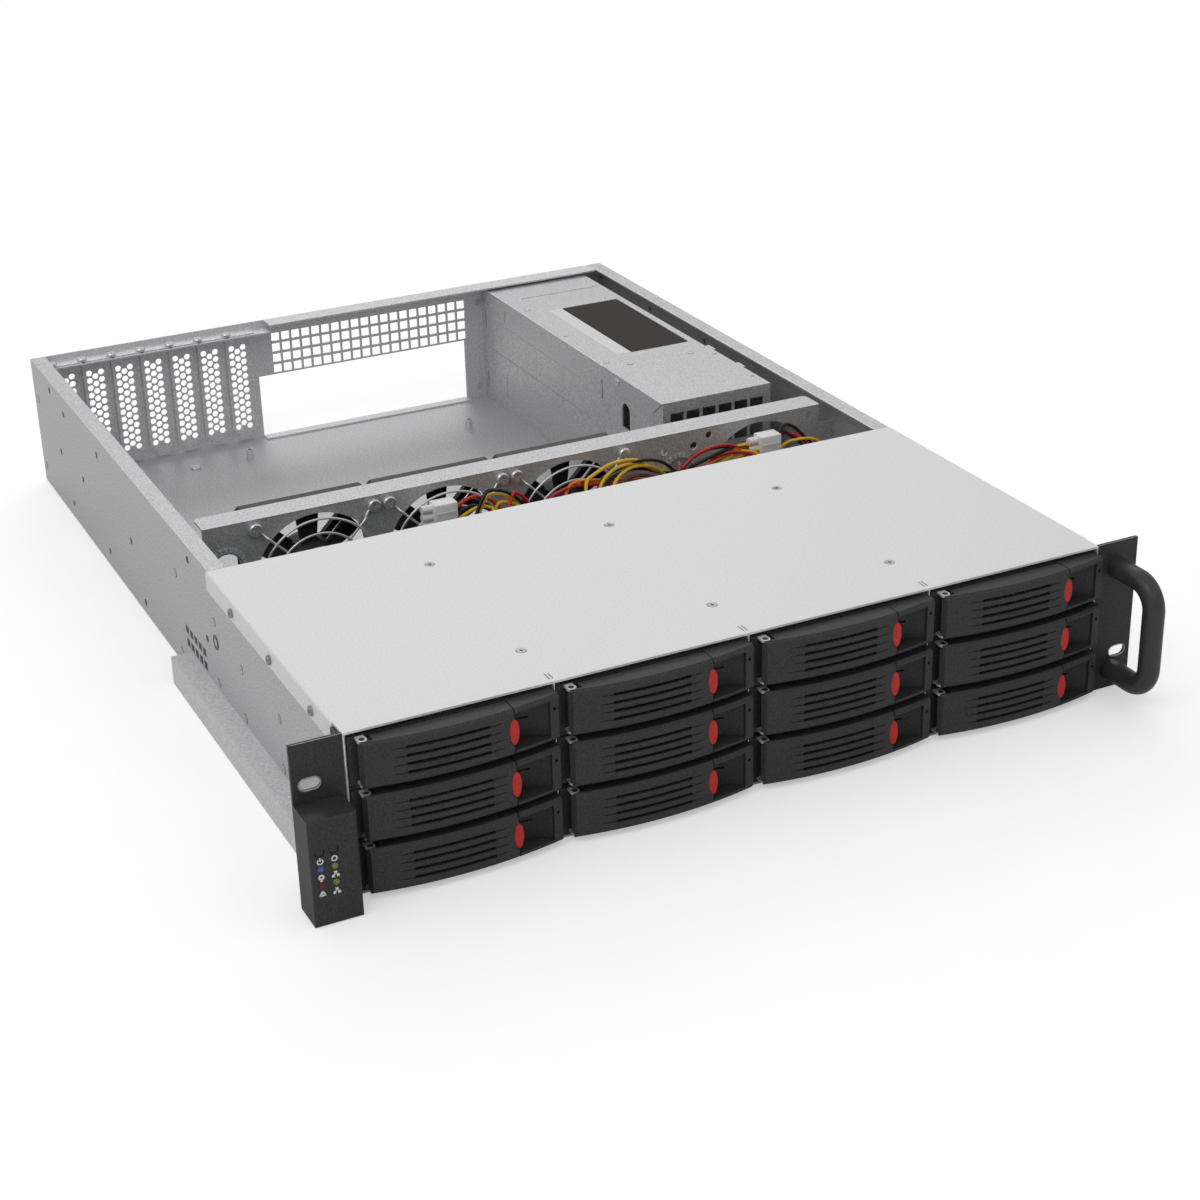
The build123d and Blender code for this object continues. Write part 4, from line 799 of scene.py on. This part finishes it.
shape = bmesh.new()
for x, y, z in (
    (123.6, 531.9, SUPPLY_TOP), (123.0, 467.7, SUPPLY_TOP), (122.7, 404.1, SUPPLY_TOP),
    (133.7, 391.4, HEAD_TOP), (179.4, 390.6, HEAD_TOP),
):
    add_screw(shape, place(x, y, z), (0, 0, 1), 1.9, 0.45, recess=False)
for x, z in ((113.2, 74.0), (112.4, 9.5)):
    add_screw(shape, place(x, REAR - SHEET, z), (0, -1, 0), 2.1, 0.5, recess=False)
finished(shape, "supply_rivets", zinc)
shape = bmesh.new()
add_screw(shape, place(SUPPLY_SIDE - 0.8, 375.3, 81.6), (-1, 0, 0), 2.2, 0.9)
finished(shape, "flap_screw", bright)
shape = bmesh.new()
add_plate(shape, (130.8, 557.2, SUPPLY_TOP - 0.05), (191.6, 558.6, SUPPLY_TOP + 0.3), 0.6)
finished(shape, "supply_fold", zinc)
print("supply top dressed at", SUPPLY_TOP)

# %% [markdown]
# ## Marks and lamps on the control box
# The marks are white print and say what a lamp or button is for: power, find me, attention, reset
# and network. Each is a thin raised shape made of arcs, spun from a short edge, and of bars.

# %% Arcs and bars for the marks
BOX_FACE = -18.0
left_column, right_column = -236.5, -229.5


def arc_mark(shape, x, z, inner, outer, start=0.0, sweep=360.0):
    """A flat ring, or a part of one, spun about an axis that faces the front."""
    centre = place(x, BOX_FACE, z)
    turned = Matrix.Rotation(math.radians(start), 4, "Y")
    ends = [shape.verts.new(centre + turned @ Vector((reach * MM, 0, 0))) for reach in (inner, outer)]
    rim = shape.edges.new(ends)
    bmesh.ops.spin(
        shape, geom=ends + [rim], cent=centre, axis=(0, 1, 0), angle=math.radians(sweep), steps=18,
        use_merge=sweep == 360.0,
    )


def bar_mark(shape, x, z, length, width, turned=0.0):
    """A flat bar, turned in the plane of the box's face."""
    centre = Matrix.Translation(place(x, BOX_FACE, z))
    flat = centre @ Matrix.Rotation(math.radians(turned), 4, "Y") @ UPRIGHT
    sized = Matrix.Diagonal((length / 2 * MM, width / 2 * MM, 1, 1))
    bmesh.ops.create_grid(shape, x_segments=1, y_segments=1, size=1.0, matrix=flat @ sized)


# %% The marks
shape = bmesh.new()
arc_mark(shape, left_column, 35.2, 1.05, 1.65, start=-55, sweep=290)
bar_mark(shape, left_column, 36.3, 0.6, 1.9)
arc_mark(shape, left_column, 26.8, 0.6, 1.5)
bar_mark(shape, left_column, 25.0, 1.1, 1.2)
bar_mark(shape, left_column, 16.9, 3.3, 0.6)
bar_mark(shape, left_column - 0.75, 18.2, 3.3, 0.6, turned=-60)
bar_mark(shape, left_column + 0.75, 18.2, 3.3, 0.6, turned=60)
bar_mark(shape, left_column, 18.0, 0.5, 1.2)
arc_mark(shape, right_column, 35.2, 0.95, 1.55)
for height in (26.7, 17.7):
    bar_mark(shape, right_column, height + 1.1, 1.5, 1.1)
    bar_mark(shape, right_column, height + 0.2, 0.4, 0.9)
    bar_mark(shape, right_column, height - 0.1, 2.8, 0.4)
    for across in (-1.2, 1.2):
        bar_mark(shape, right_column + across, height - 0.9, 1.3, 1.2)
thick = bmesh.ops.extrude_face_region(shape, geom=shape.faces[:])["geom"]
bmesh.ops.translate(shape, vec=(0, -0.12 * MM, 0), verts=points_of(thick))
finished(shape, "box_marks", plate_white)

# %% Lamps
lamp_colours = {
    "blue": ((0.02, 0.10, 0.34), (0.05, 0.18, 0.48), [(left_column, 31.2)]),
    "red": ((0.10, 0.003, 0.005), (0.18, 0.006, 0.008), [(left_column, 22.5)]),
    "green": ((0.12, 0.17, 0.05), (0.22, 0.28, 0.08), [(right_column, 31.2), (right_column, 22.5)]),
}
for colour, (dark, light, places) in lamp_colours.items():
    shape = bmesh.new()
    for x, z in places:
        centre = place(x, BOX_FACE - 0.1, z)
        lens = add_round(shape, 1.6, 1.2, Matrix.Translation(centre) @ UPRIGHT, segments=20)
        rim = [edge for edge in edges_of(lens) if all(point.co.y < centre.y for point in edge.verts)]
        bevel(shape, rim, 0.55, segments=4)
    glass = finish(colour + " lens", dark, light, (0.08, 0.16), scale=600.0, depth=0.0)
    finished(shape, "lamp_" + colour, glass)
print("lamps:", len(lamp_colours))

# %% [markdown]
# ## Edge highlights
# The rims of the mounting slots, the tops of the ears and the front edges of the cage show as fine
# bright lines: painted highlights, in paler colours, where these edges catch the light.

# %% Fine lines of painted highlight along the edges
def slot_rim(x, z, length, width):
    """Points round a slot with round ends, in the plane of the ears."""
    straight, radius = (length - width) / 2, width / 2
    points = []
    for end in (1, -1):
        for step in range(7):
            angle = math.radians(-90 + 30 * step)
            reach = straight + radius * math.cos(angle)
            points.append((x + end * reach, -0.05, z + end * radius * math.sin(angle)))
    return points


edge_highlight = finish(
    "edge highlight", (0.30, 0.30, 0.31), (0.48, 0.48, 0.49), (0.3, 0.45),
    metallic=0.6, scale=800.0, depth=0.1,
)
slots = [slot_rim(x, z, 11.1, 6.6) for x, z in ((-232.55, 66.3), (232.55, 21.85))]
wire("slot_rim_highlights", slots, 0.4, edge_highlight, closed=True)
ear_top_highlights = [
    [(side * 239.8, 0.3, TOP - 0.15), (side * 228, 0.3, TOP - 0.1), (side * 215.5, 0.3, TOP - 0.15)]
    for side in (-1, 1)
]
wire("ear_top_highlights", ear_top_highlights, 0.3, edge_highlight)
# A slight waver keeps the line from looking ruled
edges = [
    [(x + 0.12 * math.sin(2.1 * z), 0.1, z) for z in (1.6, 15, 29, 31, 44, 57, 59, 72, 86.4)]
    for x in (-214.4, -BAY_PITCH, 0.0, BAY_PITCH, 214.4)
]
# Bright steel lines paint the highlight on the front edges of the cage.
wire("cage_edge_highlights", edges, 0.55, bright)

# %% Painted highlights along the folds of the sheet metal
RIM_INSIDE, RIM_FRONT = 205.1, 207.0   # the inner edge of the side rims, and where they start
LEDGE_EDGE = 585.7                     # the front edge of the rear wall's ledge
fold_ends = (
    ((-199.0, WALL - 0.1, 85.8), (202.0, WALL - 0.1, 85.8)),
    ((-204.0, LEDGE_EDGE, 83.0), (-51.0, LEDGE_EDGE, 83.0)),
    ((-49.5, LEDGE_EDGE, 87.8), (204.0, LEDGE_EDGE, 87.8)),
    ((SUPPLY_SIDE + 0.1, 398.0, SUPPLY_TOP - 0.1), (SUPPLY_SIDE + 0.1, 597.0, SUPPLY_TOP - 0.1)),
    ((-RIM_INSIDE, RIM_FRONT, TOP - 0.1), (-RIM_INSIDE, 598.0, TOP - 0.1)),
    ((RIM_INSIDE, RIM_FRONT, TOP - 0.1), (RIM_INSIDE, 598.0, TOP - 0.1)),
)
folds = [[start, [(a + b) / 2 for a, b in zip(start, end)], end] for start, end in fold_ends]
# Pale lines on the folds of the walls, the supply, the rims and the brackets are painted highlights where
# each bend catches the light.
fold_highlight = finish(
    "fold highlight", (0.78, 0.78, 0.79), (0.90, 0.90, 0.91), (0.2, 0.32),
    metallic=0.4, scale=500.0, depth=0.05,
)
wire("fold_highlights", folds, 0.35, fold_highlight)
sides = []
for slot in range(BRACKETS):
    for side in (-9.0, 9.0):
        x = BRACKET_FIRST + slot * BRACKET_PITCH + side
        bends = ((1.0, 10.0), (1.2, 45.0), (1.0, 81.0))
        sides.append([(x, bracket_face - ahead, z) for ahead, z in bends])
wire("bracket_fold_highlights", sides, 0.4, fold_highlight)

# %% [markdown]
# ## Holes, vent and screws of the side walls
# The holes of the side walls look black in the photograph, so a thin dark disc stands in each as
# painted shade, and a dark disc under each screw paints the shade round its head. The small vent of
# the left wall gets its true pitch from dark plates of painted shade on a skin of the wall's own
# sheet, and flush screws stand round it.

# %% Discs of painted shade in the wall holes and under the screws
both_holes = ((219, 42), (370, 42), (482, 42), (538, 42), (435, 75), (517, 75), (430, 12), (519, 12))
left_holes = ((550.8, 80.9), (243.3, 79.7), (351.6, 9.0))
RING_SCREW = (201.9, 47.0)
wall_screws = (
    RING_SCREW, (202.1, 59.2), (204.6, 21.2), (157.4, 50.3), (158.4, 21.0), (97.1, 49.6), (97.9, 20.3),
    (273.2, 59.7), (276.9, 8.5), (590.4, 62.1), (592.6, 13.2),
)


def add_shade_disc(shape, side, y, z, radius):
    """A thin disc in a side wall for painted shade, its face just proud of the sheet."""
    centre = Matrix.Translation(place(side * (HALF - 0.2), y, z))
    add_round(shape, radius, 0.5, centre @ SIDEWAYS, segments=20)


shape = bmesh.new()
for y, z in both_holes:
    for side in (-1, 1):
        add_shade_disc(shape, side, y, z, 2.25)
for y, z in left_holes:
    add_shade_disc(shape, -1, y, z, 2.25)
# Wider dark discs under the screws paint the shade of the gap round each head and of its cross recess.
for y, z in wall_screws:
    add_shade_disc(shape, -1, y, z, 2.75)
finished(shape, "painted_shade_hole_discs", fan_plastic)

# %% Vent and screws of the left wall
VENT_MIDDLE, VENT_HEIGHT = 243.9, 25.9
VENT_PITCH, VENT_RISE = 8.05, 8.3
OPENING_LENGTH, OPENING_HEIGHT = 5.6, 4.6
shape = bmesh.new()
add_plate(shape, (-HALF - 0.05, 222.5, 17.5), (-HALF + 0.3, 265.5, 34.5), 0.1)
finished(shape, "vent_skin", zinc)
# Dark plates in the vent's openings are painted shade, for the dark inside the wall.
shape = bmesh.new()
for column in range(-2, 3):
    for row in (-0.5, 0.5):
        y, z = VENT_MIDDLE + VENT_PITCH * column, VENT_HEIGHT + VENT_RISE * row
        low = (-HALF - 0.1, y - OPENING_LENGTH / 2, z - OPENING_HEIGHT / 2)
        high = (-HALF + 0.2, y + OPENING_LENGTH / 2, z + OPENING_HEIGHT / 2)
        add_plate(shape, low, high, 0.1)
finished(shape, "painted_shade_vent_plates", fan_plastic)
shape = bmesh.new()
for y, z in wall_screws:
    add_screw(shape, place(-HALF, y, z), (-1, 0, 0), 2.0, 0.35)
finished(shape, "wall_screws", zinc)
turns = [math.radians(15 * step) for step in range(24)]
y, z = RING_SCREW
ring = [(-HALF - 0.1, y + 3.9 * math.cos(turn), z + 3.9 * math.sin(turn)) for turn in turns]
wire("wall_ring", [ring], 0.3, plastic, closed=True)

# %% [markdown]
# ## Slim fans
# The photograph shows only a sliver of each fan behind the wall's flange, so the fans are 25 mm
# deep. A copy of the solid fan is welded together and pressed flat towards the wall, and the
# rotor's copy turns with its rotor.

# %% Fans pressed to their depth
FAN_FACE = WALL + SHEET
SOLID_DEPTH, SLIM_DEPTH = 38.0, 25.0


def slim_copy(node, name, body):
    """Copies a node, pressed flat towards the fan wall, to stand in its place."""
    shape = bmesh.new()
    shape.from_mesh(nodes[node].data)
    bmesh.ops.remove_doubles(shape, verts=shape.verts, dist=2e-6)
    at_wall = Matrix.Translation((0, -place(0, FAN_FACE, 0).y, 0))
    bmesh.ops.scale(shape, vec=(1, SLIM_DEPTH / SOLID_DEPTH, 1), verts=shape.verts, space=at_wall)
    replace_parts(finished(shape, name, fan_plastic, body=body), node)


slim_copy("fan_frames", "slim_fan_frames", "chassis")
for number in (1, 2, 3):
    slim_copy(f"fan_rotor_{number}", f"slim_fan_rotor_{number}", f"fan_rotor_{number}")
print("fans:", SLIM_DEPTH, "mm deep")

# %% [markdown]
# ## Ribs behind the vent slots
# Upright ribs cross the air window behind every lever and show through its slots. They belong to
# the tray, so they ride on it and stay behind when the lever swings out.

# %% Upright ribs in the trays' air windows
ROW_PITCH, RIB_PITCH = 85.6 / 3, 5.4
for row, row_name in enumerate(("bottom", "middle", "top")):
    for column in range(4):
        shape = bmesh.new()
        middle = place(FIRST_TRAY + BAY_PITCH * column + 46, 1.0, 1.2 + ROW_PITCH * (row + 0.5))
        for step in range(-4, 5):
            rib = add_block(shape, middle + Vector((RIB_PITCH * step * MM, 0, 0)), 1.1, 1.3, 17)
            bevel_upright(shape, rib, 0.3)
        tray = f"{row_name}_{column + 1}"
        finished(shape, "vent_ribs_" + tray, plastic, body="tray_" + tray)

# %% Finish with the standard view transform
bpy.context.scene.view_settings.view_transform = "Standard"
